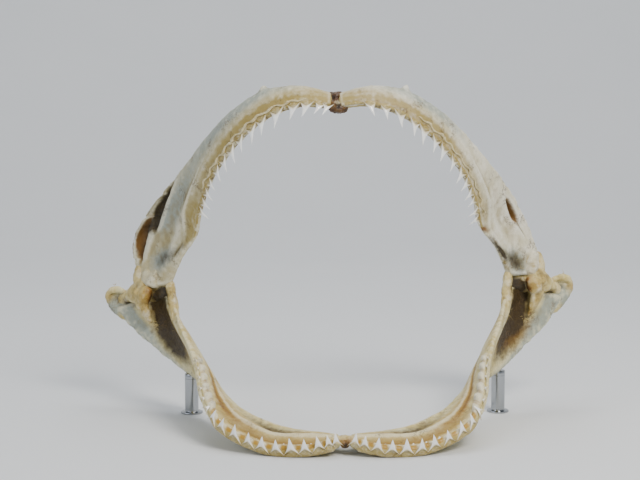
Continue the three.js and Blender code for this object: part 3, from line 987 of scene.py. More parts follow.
UPPER_LEFT_MARKS = (
    # The long furrow under the torn rim: brown and darkened with painted shade above, glowing amber
    # below.
    top(R, 0.685, 0.84, 0.07, 0.075, -6.2, -1.2, 2.5),
    top(R, 0.79, 0.89, 0.085, 0.062, -6.0, -0.2, 2.5),
    under(R, 0.74, 0.85, 0.12, 0.1, 2.6), top(R, 0.75, 0.97, 0.11, 0.03, 0.5),
    top(R, 0.81, 0.75, 0.055, 0.035, 0.9), top(GREY, 0.68, 0.56, 0.09, 0.2, 1.2),
    top(DARK, 0.69, 0.835, 0.075, 0.08, 1.5, -1.2, 2.0), top(DARK, 0.77, 0.84, 0.05, 0.04, 0.9),
    top(AMBER, 0.79, 0.9, 0.085, 0.065, 1.4, -0.2, 2.0), top(DARK, 0.8, 0.85, 0.07, 0.026, 1.25),
    top(DARK, 0.745, 0.9, 0.03, 0.05, 0.7), top(DARK, 0.835, 0.885, 0.03, 0.03, 0.5),
    top(GREY, 0.885, 0.42, 0.05, 0.22, 1.3), top(DARK, 0.885, 0.36, 0.035, 0.16, 0.72),
    top(DARK, 0.85, 0.15, 0.035, 0.09, 0.62), top(R, 0.85, 0.16, 0.03, 0.03, -0.9),
    top(GOLD, 0.69, 0.1, 0.08, 0.09, 0.6), top(GOLD, 0.79, 0.08, 0.06, 0.08, 0.8),
    top(AMBER, 0.97, 0.74, 0.02, 0.12, 0.7), top(GOLD, 0.95, 0.2, 0.03, 0.15, 0.5),
)
UPPER_RIGHT_MARKS = (
    # The slot near the far edge: a groove, dark inside, partly brown tissue and partly painted
    # shade.
    top(R, 0.725, 0.78, 0.04, 0.055, -5.0, -0.2, 2.5),
    top(DARK, 0.722, 0.76, 0.038, 0.03, 1.1, -0.2, 2.0),
    top(AMBER, 0.73, 0.785, 0.05, 0.06, 1.3, -0.2, 1.5), under(R, 0.725, 0.78, 0.05, 0.08, 1.6),
    top(R, 0.8, 0.8, 0.03, 0.014, -1.0, 0.35), top(DARK, 0.8, 0.8, 0.03, 0.012, 0.6, 0.35),
    # The negative grey takes some of the back's painted cool shade off this brightly lit side.
    top(GOLD, 0.72, 0.4, 0.16, 0.3, -0.5), top(GREY, 0.5, 0.8, 0.12, 0.3, -0.6),
    top(AMBER, 0.796, 0.02, 0.022, 0.09, 0.9), top(DARK, 0.875, 0.03, 0.045, 0.07, 0.75),
    top(R, 0.875, 0.06, 0.04, 0.04, -1.2), top(GREY, 0.948, 0.38, 0.05, 0.3, 1.3),
    top(GOLD, 0.945, 0.35, 0.05, 0.3, 0.5), top(DARK, 0.945, 0.34, 0.042, 0.22, 0.8, 0.0, 1.5),
    top(DARK, 0.915, 0.08, 0.03, 0.07, 0.9), top(GOLD, 0.95, 0.76, 0.035, 0.11, 1.1),
    top(R, 0.945, 0.42, 0.042, 0.24, -1.8), top(R, 0.94, 0.86, 0.05, 0.09, 1.2),
    top(GOLD, 0.955, 0.02, 0.03, 0.06, 0.6), top(GOLD, 0.69, 0.1, 0.08, 0.09, 0.6),
)

SIDE_MARKS = {LEFT: (LOWER_LEFT_MARKS, UPPER_LEFT_MARKS),
              RIGHT: (LOWER_RIGHT_MARKS, UPPER_RIGHT_MARKS)}

# Stations from the symphysis to the joint: both edges, the bow of the middle and the half
# thickness near each edge, all in mm.
LOWER_SHAPE = dict(
    word="lower",
    tooth=((2.6, -0.5, 8), (24, -2, 3.8), (47, 3, 4.2), (71, 16, 13), (82.5, 35, 25),
           (87.5, 59, 39.5), (92.5, 79, 49.5), (99, 97, 59.5), (104, 116, 69.5),
           (107.5, 131, 76.5)),
    far=((2.6, 22, 6.5), (22, 26, 5.5), (41, 34, 7), (57.5, 50, 11), (70.5, 72, 16.5),
         (84, 100, 21.5), (99.5, 117.5, 27), (115, 127.5, 37.5), (133.5, 140, 51),
         (147, 148.5, 66)),
    bend=(-1.2, 0, 0, 0.5, 1.2, 3, 5.5, 6.5, 5, 1),
    near_half=(2.8, 5.2, 5, 4.8, 4, 3.2, 3, 3, 3.2, 4),
    far_half=(2.8, 5.5, 5.5, 5.2, 4.8, 4.5, 4.2, 4, 4.4, 6),
)
UPPER_SHAPE = dict(
    word="upper",
    tooth=((1.8, 50.9, 195.3), (18, 50.1, 196.5), (35, 53.3, 192), (50, 59.5, 182.5),
           (63, 67.8, 170), (76, 79.5, 152.5), (84, 92, 133.5), (88, 103, 117.5),
           (98, 112, 103.5), (108, 127, 83)),
    far=((1.8, 62, 201.6), (20, 62, 206), (39, 68, 204.5), (56.8, 76, 195.5), (73.8, 88, 181),
         (91.2, 101.5, 161), (110, 122, 136), (121, 135, 115.5), (128, 140, 97),
         (126.5, 138, 82)),
    bend=(0.5, 1, 1.2, 1.2, 1, 0, -1.5, -2.5, -2.5, 0),
    near_half=(2.8, 3.2, 3.4, 3.4, 3.2, 3, 3, 3.2, 3.6, 5),
    far_half=(3, 3.6, 4, 4, 3.8, 3.4, 3.2, 3.2, 3.6, 5),
)
FLARE = {LEFT: 9.0, RIGHT: 0.0}
# The right upper plate takes the cartilage painted lighter, as painted light on that side.
UPPER_FINISH = {LEFT: CARTILAGE, RIGHT: CARTILAGE_PAINTED_LIGHT}
# The small process that stands up from each upper far edge, and the tears in it.
PROCESS = Notch(0.236, 0.014, -5.4, 2.0)
TEARS = {LEFT: (Notch(0.636, 0.004, 2.6), Notch(0.707, 0.0035, 3.4), Notch(0.872, 0.006, 1.8)),
         RIGHT: (Notch(0.795, 0.004, 1.2),)}


# ---- Teeth in their gum ---------------------------------------------------------------------


@dataclass(frozen=True)
class ToothRow:
    """One row of teeth: where each stands along the bone, and how it is seated."""

    places: tuple[float, ...]
    height: float
    width: float
    lean: tuple[float, float]
    seat: tuple[float, float]
    tilt: float = 0.12
    slim: float = 0.6
    drop: float = 0.12
    notch: float = 0.05
    small: float = 0.9
    least: float = 0.62
    flare: float = 6.0
    tilt_gain: float = 0.1
    hook: float = 0.14
    thickness: float = 2.0
    scale: float = 1.0
    root: float = 1.2
    reclined_from: float = 2.0
    recline_range: float = 0.08
    size_spread: float = 0.05
    tilt_spread: float = 0.07
    seed: int = 5


@dataclass(frozen=True)
class Dentition:
    """The gum along a plate's tooth edge and the rows of teeth that stand in it.

    Rough and ridge are the height and size in mm of the noise on the gum.
    """

    bone: JawBone
    rows: tuple[ToothRow, ...]
    band_from: float
    band_to: float
    front: tuple[float, float]
    lobe_reach: float
    lobe_bulge: float
    sink: float
    half: tuple[float, float]
    wide_from: float = 2.0
    setback: float = 0.7
    pockets: float = 0.0
    wide_range: float = 0.09
    lobe_width: float = 0.34
    gold: float = 0.75
    rough: tuple[float, float] = (0.16, 3.2)
    ridge: tuple[float, float] = (0.12, 1.6)
    hollow_passes: int = 8
    hollow_depth: float = 0.2

    @property
    def node(self) -> str:
        """The CAD node that gum and teeth stand for."""
        return f"tooth_band_{self.bone.word}_{SIDE_WORDS[self.bone.side]}"

    def gum_skin(self, layout: Layout) -> Skin:
        """The gum: a tube along the tooth edge that rises round each tooth and sinks between.

        Its section is an ellipse. A lobe for each tooth, exp(-|dt / width|^2.4) along the bone,
        draws the edge out along the cusp like a sleeve and swells the front; between lobes both
        sink. Far back the tube grows wide and flat, and the lobes become low rungs over the
        reclined teeth.
        """
        first = self.rows[0]
        share = np.concatenate([[0.0], np.linspace(0.0, 1.0, 420), [1.0]])
        share, angle = np.meshgrid(share, circle(72), indexing="ij")
        t = self.band_from + (self.band_to - self.band_from) * share
        near, _, run, across, up = self.bone.frame(t)
        places = np.array(first.places)
        pitch = np.abs(np.gradient(places))
        spread = self.lobe_width * pitch
        lobe = np.exp(-(np.abs((t[..., None] - places) / spread) ** 2.4)).sum(-1)
        wide = step_between(t, self.wide_from, self.wide_from + self.wide_range)
        size = (1 - 0.3 * share) * np.clip(np.minimum(share, 1 - share) * 40, 0, 1) ** 0.5
        a = self.half[0] * size * (1 + 1.6 * wide)
        b = self.half[1] * size * (1 - 0.2 * wide)
        flat, rise = -np.cos(angle), np.sin(angle)
        lean = unit(np.array(first.lean))
        front = unit(np.array(self.front))
        edgeward = np.clip(flat * lean[0] + rise * lean[1], 0, 1)
        frontward = np.clip(flat * front[0] + rise * front[1], 0, 1)
        cusp = unit(across * lean[0] + up * lean[1] + run * first.tilt)
        forth = across * front[0] + up * front[1]
        across_step = self.setback + 4.0 * wide + a * flat
        points = near + across * across_step[..., None] + up * (b * rise + 1.7 * wide)[..., None]
        ease = (1 - 0.7 * wide) * size
        sleeve = (self.lobe_reach * lobe - self.sink) * edgeward**3 * ease
        swell = (self.lobe_bulge * lobe - 0.6 * self.sink) * frontward**1.5 * ease
        rung = 1.6 * wide * lobe * np.clip(rise, 0, 1)
        points = points + cusp * sleeve[..., None] + forth * swell[..., None] + up * rung[..., None]
        normals = grid_normals(points)
        rough = self.rough[0] * layered_noise(points, self.rough[1], 60 + self.bone.seed, 3)
        ridges = np.abs(layered_noise(points, self.ridge[1], 70, 2))
        rough = rough + self.ridge[0] * ridges
        points = points + normals * (rough * size)[..., None]
        hollow = hollowness(points, normals, self.hollow_passes, self.hollow_depth)
        gap = np.clip(1 - 1.2 * lobe, 0, 1)
        pocket = gap * step_between(rise, 0.1, 0.6) * (1 - wide)
        # Gold is the gum's straw colour, partly painted shade above the lobes; dark paints the
        # shade between the lobes.
        stains = {
            GOLD: (self.gold + 0.3 * (1 - edgeward)) * (1 - 0.75 * wide)
            - 0.5 * np.clip(lobe, 0, 1) * edgeward,
            AMBER: self.pockets * pocket + 0.8 * wide * bump(flat, 0.95, 0.25)
            + 0.6 * wide * bump(lobe, 0.25, 0.15) * np.clip(rise, 0, 1),
            DARK: 0.75 * bump(lobe, 0.3, 0.18) * edgeward * (1 - wide) * (1 - self.pockets),
            GREY: 0.9 * np.clip(lobe, 0, 1) * edgeward + 0.8 * wide * np.clip(rise, 0, 1),
            Channel.CAVITY: np.clip(hollow, -1, 1),
        }
        settled = layout.settle(points, self.bone.side)[None]
        return Skin(settled, Seal.POLE, {c: v[None] for c, v in stains.items()})

    def tooth_skin(self, row: ToothRow, layout: Layout) -> Skin:
        """All the teeth of a row, each a slim curved cusp on two spreading feet.

        At height h the blade is width (slim (1-h)^0.9 + (1 - slim)(1-h)^flare) wide, so its flanks
        are concave, and lens-shaped in section, flat in front. Its base arches over a notch and
        its feet drop with |cos angle|^1.5, and the cusp bends back along the jaw with h^1.6.
        """
        places = np.array(row.places)
        count = len(places)
        share = np.linspace(0, 1, count)
        random = np.random.default_rng(row.seed)
        near, _, _, across, up = self.bone.frame(places)
        run = unit(along(self.bone.tooth, places + 0.01) - along(self.bone.tooth, places - 0.01))
        lying_from = row.reclined_from
        reclined = step_between(places, lying_from, lying_from + row.recline_range)
        arc = row.least + (1 - row.least) * np.sin(math.pi * np.minimum(1, share * 1.1 + 0.15))
        size = arc * np.where(np.arange(count) % 2, row.small, 1.0) * row.scale
        size = size * (1 + row.size_spread * random.standard_normal(count))
        tilt = row.tilt + row.tilt_gain * share
        tilt = tilt + row.tilt_spread * random.standard_normal(count)
        cusp = unit(across * (row.lean[0] + 1.7 * reclined)[:, None]
                    + up * (row.lean[1] * (1 - 0.45 * reclined))[:, None] + run * tilt[:, None])
        face = unit(np.cross(run, cusp))
        face = face * np.sign((face * across).sum(-1, keepdims=True))
        root = near + across * (row.seat[0] + 1.2 * reclined)[:, None] - cusp * row.root
        root = root + up * (row.seat[1] - 0.5 * reclined)[:, None]
        levels = np.concatenate([[0.0], np.linspace(0, 0.3, 9), np.linspace(0.36, 0.96, 11),
                                 [0.985, 1.0]])
        h, angle = np.meshgrid(levels, circle(28), indexing="ij")
        open_ring = np.ones_like(h)
        open_ring[0] = 0.0
        x_side, z_side = np.cos(angle), np.sin(angle)
        blade = row.slim * (1 - h) ** 0.9 + (1 - row.slim) * (1 - h) ** row.flare
        x = 0.5 * blade * x_side * open_ring
        lens = np.sign(z_side) * np.abs(z_side) ** 1.25 * np.where(z_side > 0, 1.0, 0.6)
        z = 0.5 * (0.75 * (1 - h) ** 0.8 + 0.25 * (1 - h) ** 4) * lens * open_ring
        arch = row.notch - (row.notch + row.drop) * np.abs(x_side * open_ring) ** 1.5
        y = h + arch * (1 - h) ** 3
        bend = row.hook * h**1.6
        inward = 0.7 * h**1.5 - 0.35 * np.sin(math.pi * h)
        tall = (row.height * size * (1 - 0.42 * reclined) + row.root)[:, None, None]
        wide = (row.width * size)[:, None, None]
        thin = (row.thickness * size)[:, None, None]
        along_run = x[None] * wide + bend[None] * tall
        along_face = z[None] * thin + inward[None]
        points = (root[:, None, None] + cusp[:, None, None] * (y[None] * tall)[..., None]
                  + run[:, None, None] * along_run[..., None]
                  + face[:, None, None] * along_face[..., None])
        points = points + 0.06 * layered_noise(points, 1.5, row.seed, 2)[..., None]
        rooted = np.broadcast_to((1.1 * (1 - h) ** 5)[None], points.shape[:3])
        return Skin(layout.settle(points, self.bone.side), Seal.POLE, {GOLD: rooted})

    def build(self, layout: Layout) -> None:
        """Makes the gum's piece and a piece for each row of teeth."""
        stem = self.node.replace("tooth_band", "gum")
        add_piece(write_mesh(stem, self.gum_skin(layout)), GUM, self.node)
        for number, row in enumerate(self.rows, 1):
            name = f"{self.node.replace('tooth_band', 'teeth')}_row{number}"
            add_piece(write_mesh(name, self.tooth_skin(row, layout)), ENAMELOID, self.node)


@dataclass(frozen=True)
class SheathHem:
    """The curled hem of the dried gum sheath: a thin wavy cord above the roots of the teeth."""

    bone: JawBone
    places: tuple[float, ...]
    span: tuple[float, float]
    at: float
    wave: float = 0.06
    wander: float = 0.015
    radius: float = 0.72
    lift: float = 0.35

    def build(self, layout: Layout) -> None:
        """Makes the cord.

        It lies on the plate's top face at the share u = at + wave lobe across the bone, the lobe
        being a Gaussian round each tooth, wanders with noise and thins out at both ends.
        """
        share, angle = np.meshgrid(np.linspace(0, 1, 500), circle(12), indexing="ij")
        t = self.span[0] + (self.span[1] - self.span[0]) * share
        places = np.array(self.places)
        lobe = bump(t[..., None], places, 0.32 * np.abs(np.gradient(places))).sum(-1)
        line = edge_line(t, z=9.0)
        u = self.at + self.wave * lobe + self.wander * layered_noise(line, 6.0, 97, 2)
        middle, _, _ = self.bone.surface(t, np.arccos(1 - 2 * u))
        _, _, _, across, up = self.bone.frame(t)
        thick = self.radius * np.clip(np.minimum(share, 1 - share) * 12, 0, 1) ** 0.5
        thick = thick * (0.9 + 0.6 * layered_noise(line, 3.0, 98, 2))
        ring = across * np.cos(angle)[..., None] + up * np.sin(angle)[..., None]
        points = middle + up * self.lift + ring * thick[..., None]
        points = points + up * (0.3 * lattice_noise(points, 1.6, 99))[..., None]
        shade = stains_over(t[None], {GREY: 0.5, GOLD: 0.2})
        skin = Skin(layout.settle(points, self.bone.side)[None], Seal.POLE, shade)
        word = f"{self.bone.word}_{SIDE_WORDS[self.bone.side]}"
        add_piece(write_mesh(f"gum_hem_{word}", skin), GUM, f"tooth_band_{word}")


# ---- Torn rim -------------------------------------------------------------------------------


@dataclass(frozen=True)
class TornRim:
    """A thin curling shred of cartilage along a plate's far edge, broken along its free edge.

    Widths are the width in mm below the middle break, and how much is added above it.
    """

    bone: JawBone
    span: tuple[float, float] = (0.615, 0.878)
    breaks: tuple[float, ...] = (0.642, 0.706, 0.79)
    widths: tuple[float, float] = (0.8, 3.6)
    half_thickness: float = 0.45

    def build(self, layout: Layout) -> None:
        """Makes the shred.

        It is a flattened tube along the far edge. Its section starts on the edge and curls over
        the furrow by a width that is 4.4 mm above the middle break and 0.8 mm below it. It is
        uneven with noise, a quarter as wide at each break, and nothing at both ends.
        """
        share, angle = np.meshgrid(np.linspace(0, 1, 300), circle(28), indexing="ij")
        t = self.span[0] + (self.span[1] - self.span[0]) * share
        edge, _, _ = self.bone.surface(t, np.full_like(t, math.pi * 0.9))
        rim, _, _ = self.bone.surface(t, np.full_like(t, math.pi * 0.985))
        _, _, run, across, up = self.bone.frame(t)
        ragged = 0.5 * layered_noise(edge_line(t, z=5.0), 2.3, 91, 3)
        upper = 1 - step_between(t, 0.695, 0.712)
        width = (self.widths[0] + self.widths[1] * upper) * (1 + ragged)
        width = width * np.sin(math.pi * share) ** 0.35
        for place in self.breaks:
            width = width * (1 - 0.75 * np.exp(-np.abs((t - place) / 0.0045)))
        reach = (1 - np.cos(angle)) / 2 * width
        curl = 0.55 * reach - 0.09 * reach**2
        flesh = self.half_thickness * np.sin(angle) * np.clip(width, 0.2, 1.0)
        inward = unit(edge - rim)
        points = rim + inward * reach[..., None] + up * (curl + flesh + 0.2)[..., None]
        points = points + run * (0.35 * layered_noise(points, 2.2, 95, 2))[..., None]
        shade = stains_over(t[None], {GREY: 0.25 * upper, GOLD: 0.6 * (1 - upper) + 0.15,
                                      AMBER: 0.35 * (1 - upper)})
        skin = Skin(layout.settle(points, self.bone.side)[None], Seal.POLE, shade)
        mesh = write_mesh(self.bone.name + "_torn_rim", skin)
        add_piece(mesh, self.bone.finish, self.bone.name)


# ---- Soft tissue ----------------------------------------------------------------------------


@dataclass(frozen=True)
class Cord:
    """A thick strand of tissue: a path, and its radius at each point of it."""

    path: Rows
    radii: tuple[float, ...]
    squeeze: float = 1.0

    def points(self, rows: int = 40, columns: int = 28) -> Array:
        """Rings round the path, closed at both ends by a square-root rounding.

        Each ring lies in the plane of two directions square to the path, the second of them
        shortened by squeeze.
        """
        share = np.linspace(0, 1, rows)
        middle = along(self.path, share)
        heading = unit(np.gradient(middle, axis=0))
        sideways = unit(np.cross(heading, np.array([0.13, 0.31, 0.94])))
        upright = np.cross(heading, sideways)
        ends = np.clip(np.minimum(share, 1 - share) * 6, 0, 1)
        radius = along(self.radii, share) * np.sqrt(1 - (1 - ends) ** 2)
        angle = circle(columns)
        ring = (sideways[:, None] * np.cos(angle)[None, :, None]
                + upright[:, None] * np.sin(angle)[None, :, None] * self.squeeze)
        return middle[:, None] + ring * radius[:, None, None]


@dataclass(frozen=True)
class Spot:
    """A stain round a place in the even right half, in mm."""

    channel: Channel
    at: tuple[float, float, float]
    reach: float
    amount: float


@dataclass(frozen=True)
class SoftTissue:
    """Strands of dried tissue grown together into one lumpy body."""

    name: str
    side: int
    node: str
    finish: Finish
    cords: tuple[Cord, ...]
    spots: tuple[Spot, ...] = ()
    voxel: float = 0.55
    smoothing: int = 9
    lump: float = 0.5
    lump_size: float = 5.0
    wrinkle: float = 0.12
    wrinkle_size: float = 2.2
    seed: int = 11
    gold: float = 0.12

    def fuse(self, layout: Layout) -> bpy.types.Mesh:
        """One closed mesh round all the strands, remeshed and smoothed."""
        grids = np.stack([cord.points() for cord in self.cords])
        rough = write_mesh(self.name, Skin(layout.settle(grids, self.side), Seal.POLE))
        return modified(rough, {"REMESH": {"mode": "VOXEL", "voxel_size": self.voxel * MM},
                                "SMOOTH": {"factor": 0.5, "iterations": self.smoothing}})

    def build(self, layout: Layout) -> None:
        """Roughens the fused body along its normals and stains it.

        Lumps are layered noise and wrinkles are ridged noise, 1 - 2|n|. The cavity channel is
        minus 0.7 of the lumps and 0.3 of the wrinkles, and spots are Gaussians in space.
        """
        mesh = self.fuse(layout)
        count = len(mesh.vertices)
        flat, normals = np.empty(count * 3, np.float32), np.empty(count * 3, np.float32)
        mesh.vertices.foreach_get("co", flat)
        mesh.vertex_normals.foreach_get("vector", normals)
        points = flat.reshape(-1, 3).astype(float) / MM
        normals = normals.reshape(-1, 3).astype(float)
        lumps = layered_noise(points, self.lump_size, self.seed, 3)
        wrinkles = layered_noise(points, self.wrinkle_size, self.seed + 7, 2)
        ridges = 1 - 2 * np.abs(wrinkles)
        height = self.lump * lumps + self.wrinkle * ridges
        moved = (points + normals * height[:, None]) * MM
        mesh.vertices.foreach_set("co", moved.astype(np.float32).ravel())
        mesh.update()
        mesh.shade_smooth()
        stains = {c: np.zeros(count) for c in STAINS}
        stains[GOLD] += self.gold + 0.3 * lattice_noise(points, 6.0, self.seed + 3)
        for spot in self.spots:
            centre = layout.settle(np.array(spot.at, float), self.side)
            far = np.linalg.norm(points - centre, axis=-1)
            stains[spot.channel] += spot.amount * np.exp(-((far / spot.reach) ** 2))
        stains[Channel.CAVITY] = np.clip(-0.3 * ridges - 0.7 * lumps, -1, 1)
        for channel, values in stains.items():
            write_stain(mesh, channel, values)
        add_piece(mesh, self.finish, self.node)


@dataclass(frozen=True)
class Tuft:
    """Loose dried fibres: where they start, which way they point, their length and number."""

    at: tuple[float, float, float]
    heading: tuple[float, float, float]
    length: float
    count: int
    spread: float = 0.6
    around: float = 1.5
    radius: float = 0.28


@dataclass(frozen=True)
class Fibres:
    """Frayed ends of tissue on one half of the jaws, as thin tapering curved strands."""

    name: str
    side: int
    node: str
    finish: Finish
    tufts: tuple[Tuft, ...]
    seed: int = 31

    def build(self, layout: Layout) -> None:
        """Makes all the strands.

        A strand runs from its start as start + heading s + bend s^2, and tapers with
        (1 - s)^0.7. Starts, headings and bends are drawn from a seeded generator.
        """
        random = np.random.default_rng(self.seed)
        strands = []
        for tuft in self.tufts:
            shape = (tuft.count, 3)
            start = np.array(tuft.at) + tuft.around * random.standard_normal(shape)
            aim = unit(np.array(tuft.heading) + tuft.spread * random.standard_normal(shape))
            length = (tuft.length * random.uniform(0.5, 1.2, tuft.count))[:, None, None]
            bend = 0.45 * random.standard_normal(shape)
            s = np.linspace(0, 1, 12)[None, :, None]
            middle = start[:, None] + (aim[:, None] * s + bend[:, None] * s**2) * length
            sideways = unit(np.cross(aim, bend))[:, None, None]
            upright = unit(np.cross(aim, sideways[:, 0, 0]))[:, None, None]
            angle = circle(6)[None, None, :, None]
            taper = (np.maximum(0, 1 - s) ** 0.7 * tuft.radius)[..., None]
            ring = (sideways * np.cos(angle) + 0.5 * upright * np.sin(angle)) * taper
            strands.append(middle[:, :, None] + ring)
        points = layout.settle(np.concatenate(strands), self.side)
        skin = Skin(points, Seal.POLE, stains_over(points[..., 0], {GOLD: 0.35}))
        add_piece(write_mesh(self.name, skin), self.finish, self.node)


# ---- Stand ----------------------------------------------------------------------------------


GROOVE = ((3.2, 0.0), (3.1, 0.12), (2.9, 0.12), (2.8, 0.0))    # mm below the top, and inwards


@dataclass(frozen=True)
class Post:
    """A turned steel post on a round foot, with chamfered edges and a fine groove near its top."""

    side: int
    radius: float = 4.3
    foot_radius: float = 7.0
    foot_height: float = 1.2
    chamfer: float = 0.35

    @property
    def node(self) -> str:
        """The CAD node that the post stands for."""
        return f"stand_post_{SIDE_WORDS[self.side]}"

    def build(self, carried: bpy.types.Object) -> None:
        """Turns the profile round the post's axis, and cuts a saddle for the bone on it.

        Args:
            carried: The plate that rests on the post.
        """
        low, high = (np.array(corner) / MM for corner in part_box(self.node))
        centre = (low + high) / 2
        top_height, c, r, foot = high[2], self.chamfer, self.radius, self.foot_radius
        neck = self.foot_height + 0.9
        profile = np.array([
            (0, 0), (foot - c, 0), (foot - 0.1, 0.1), (foot, c), (foot, self.foot_height - c),
            (foot - 0.1, self.foot_height - 0.1), (foot - c, self.foot_height),
            (r + 1.1, self.foot_height), (r + 0.45, self.foot_height + 0.15),
            (r + 0.12, self.foot_height + 0.45), (r, neck), (r, neck + 0.4),
            *((r - inwards, top_height - below) for below, inwards in GROOVE),
            (r, top_height - c), (r - 0.1, top_height - 0.1),
            (r - c, top_height), (0.6, top_height), (0, top_height)])
        points = lathe(profile, 128) + [centre[0], centre[1], 0]
        turned = write_mesh(self.node + "_turned", Skin(points[None], Seal.POLE))
        mesh = modified(turned, {"BOOLEAN": {"operation": "DIFFERENCE", "solver": "MANIFOLD",
                                             "object": carried}})
        mesh.set_sharp_from_angle(angle=math.radians(28))
        add_piece(mesh, STEEL, self.node)


# ---- Studio ---------------------------------------------------------------------------------


@dataclass(frozen=True)
class Lamp:
    """A square soft light: where it hangs, its width in metres, power, colour and what it faces."""

    name: str
    at: tuple[float, float, float]
    width: float
    power: float
    colour: str
    aim: tuple[float, float, float] = (0.0, 0.0, 0.1)


@dataclass(frozen=True)
class Studio:
    """A pale bowl of paper, soft lights and the camera, whose place is in mm from the layout's."""

    camera_from_layout: tuple[float, float, float] = (-13.0, -831.0, 211.4)
    pitch: float = 6.1
    lens: float = 85.0
    sensor: float = 36.0
    sky: str = "#E4E9F0"
    sky_strength: float = 0.28
    floor_radius: float = 0.9
    sweep: float = 1.4
    wall: float = 2.3
    lamps: tuple[Lamp, ...] = (
        Lamp("key", (0.42, -0.68, 0.82), 0.4, 11.0, "#FFFAF2"),
        Lamp("fill", (-0.9, -0.6, 0.5), 0.7, 3.4, "#EAF1FF"),
        Lamp("overhead", (0.05, 0.1, 1.15), 0.8, 4.5, "#FFFFFF"),
        Lamp("wash", (0.0, 0.75, 1.7), 1.2, 16.0, "#FFFFFF", (0.0, 2.3, 0.3)),
    )

    def build(self, layout: Layout) -> None:
        """Makes the floor, the world, the lamps and the camera."""
        self.build_floor()
        self.build_world()
        for lamp in self.lamps:
            self.hang(lamp)
        camera = bpy.data.cameras.new("camera")
        camera.lens, camera.sensor_width = self.lens, self.sensor
        camera.clip_start, camera.clip_end = 0.05, 20.0
        holder = bpy.data.objects.new("camera", camera)
        holder.location = Vector(np.array(self.camera_from_layout) + layout.shift) * MM
        holder.rotation_euler = (math.radians(90 - self.pitch), 0.0, 0.0)
        bpy.context.scene.collection.objects.link(holder)
        bpy.context.scene.camera = holder

    def build_floor(self) -> None:
        """Turns a flat floor, a quarter-circle sweep and a wall round the upright axis."""
        bend = np.linspace(0, math.pi / 2, 25)
        radius = np.concatenate([[0, 0.3, 0.6], self.floor_radius + self.sweep * np.sin(bend)])
        height = np.concatenate([[0, 0, 0], self.sweep * (1 - np.cos(bend))])
        radius = np.append(radius, radius[-1])
        height = np.append(height, self.wall)
        points = lathe(np.stack([radius, height], -1), 160)
        mesh = bpy.data.meshes.new("paper_bowl")
        rows, columns = points.shape[:2]
        index = np.arange(rows * columns).reshape(rows, columns)
        quads = np.stack([index[:-1], np.roll(index, -1, 1)[:-1], np.roll(index, -1, 1)[1:],
                          index[1:]], -1).reshape(-1, 4)
        mesh.from_pydata(points.reshape(-1, 3).tolist(), [], quads.tolist())
        mesh.shade_smooth()
        mesh.materials.append(PAPER.material())
        floor = bpy.data.objects.new("paper_bowl", mesh)
        bpy.context.scene.collection.objects.link(floor)

    def build_world(self) -> None:
        """A dim, even, cool light from everywhere."""
        world = bpy.data.worlds.new("studio")
        world.use_nodes = True
        background = world.node_tree.nodes["Background"]
        background.inputs["Color"].default_value = linear(self.sky)
        background.inputs["Strength"].default_value = self.sky_strength
        bpy.context.scene.world = world

    def hang(self, lamp: Lamp) -> None:
        """Hangs a lamp, turned to what it faces."""
        light = bpy.data.lights.new(lamp.name, "AREA")
        light.shape, light.size, light.energy = "SQUARE", lamp.width, lamp.power
        light.color = linear(lamp.colour)[:3]
        holder = bpy.data.objects.new(lamp.name, light)
        holder.location = lamp.at
        heading = Vector(lamp.aim) - Vector(lamp.at)
        holder.rotation_euler = heading.to_track_quat("-Z", "Y").to_euler()
        bpy.context.scene.collection.objects.link(holder)


# ---- Assembly -------------------------------------------------------------------------------

UPPER_ROW = dict(height=7.0, width=8.8, lean=(-0.93, -0.36), seat=(-3.0, 0.9), tilt=0.3,
                 least=0.72, slim=0.52, flare=3.8, tilt_gain=0.3, hook=0.3, thickness=3.2,
                 drop=0.26, notch=0.14)
UPPER_SPARE = dict(height=5.0, width=6.5, lean=(0.4, -0.9), seat=(1.6, -2.2), scale=0.8)
LOWER_ROW = dict(height=6.9, width=10.8, lean=(-0.3, 0.95), seat=(-2.3, 2.1), slim=0.48,
                 drop=0.42, notch=0.16, thickness=2.6, tilt=-0.02, hook=0.03,
                 reclined_from=0.36)
LOWER_SPARE = dict(height=5.0, width=7.0, lean=(0.9, 0.35), seat=(1.6, 2.0), scale=0.8,
                   reclined_from=0.36)
UPPER_GUM = dict(band_from=0.016, band_to=0.8, front=(-0.5, 0.85), lobe_reach=2.0,
                 lobe_bulge=0.7, sink=1.5, half=(1.8, 2.4), gold=0.45)
LOWER_GUM = dict(band_from=0.012, band_to=0.62, front=(-1.0, 0.1), lobe_reach=0.5,
                 lobe_bulge=0.3, sink=0.5, half=(2.3, 3.7), wide_from=0.34, pockets=1.3,
                 gold=0.35)
UPPER_PLACES = {
    LEFT: (0.022, 0.054, 0.106, 0.155, 0.219, 0.285, 0.331, 0.393, 0.442, 0.484, 0.522, 0.566,
           0.601, 0.636, 0.671),
    RIGHT: (0.127, 0.184, 0.241, 0.304, 0.348, 0.41, 0.454, 0.504, 0.551, 0.591, 0.63, 0.662,
            0.71, 0.745),
}
LOWER_PLACES = {
    LEFT: (0.012, 0.034, 0.064, 0.104, 0.142, 0.183, 0.222, 0.256, 0.29, 0.328, 0.366, 0.405,
           0.443, 0.48, 0.517, 0.552, 0.586),
    RIGHT: (0.013, 0.041, 0.079, 0.12, 0.16, 0.201, 0.236, 0.272, 0.308, 0.347, 0.393, 0.437,
            0.476, 0.514, 0.55, 0.585),
}
# Where the gum's hem runs on each upper plate, along it and across it.
HEM = {LEFT: dict(span=(0.1, 0.6), at=0.04), RIGHT: dict(span=(0.3, 0.74), at=0.085)}
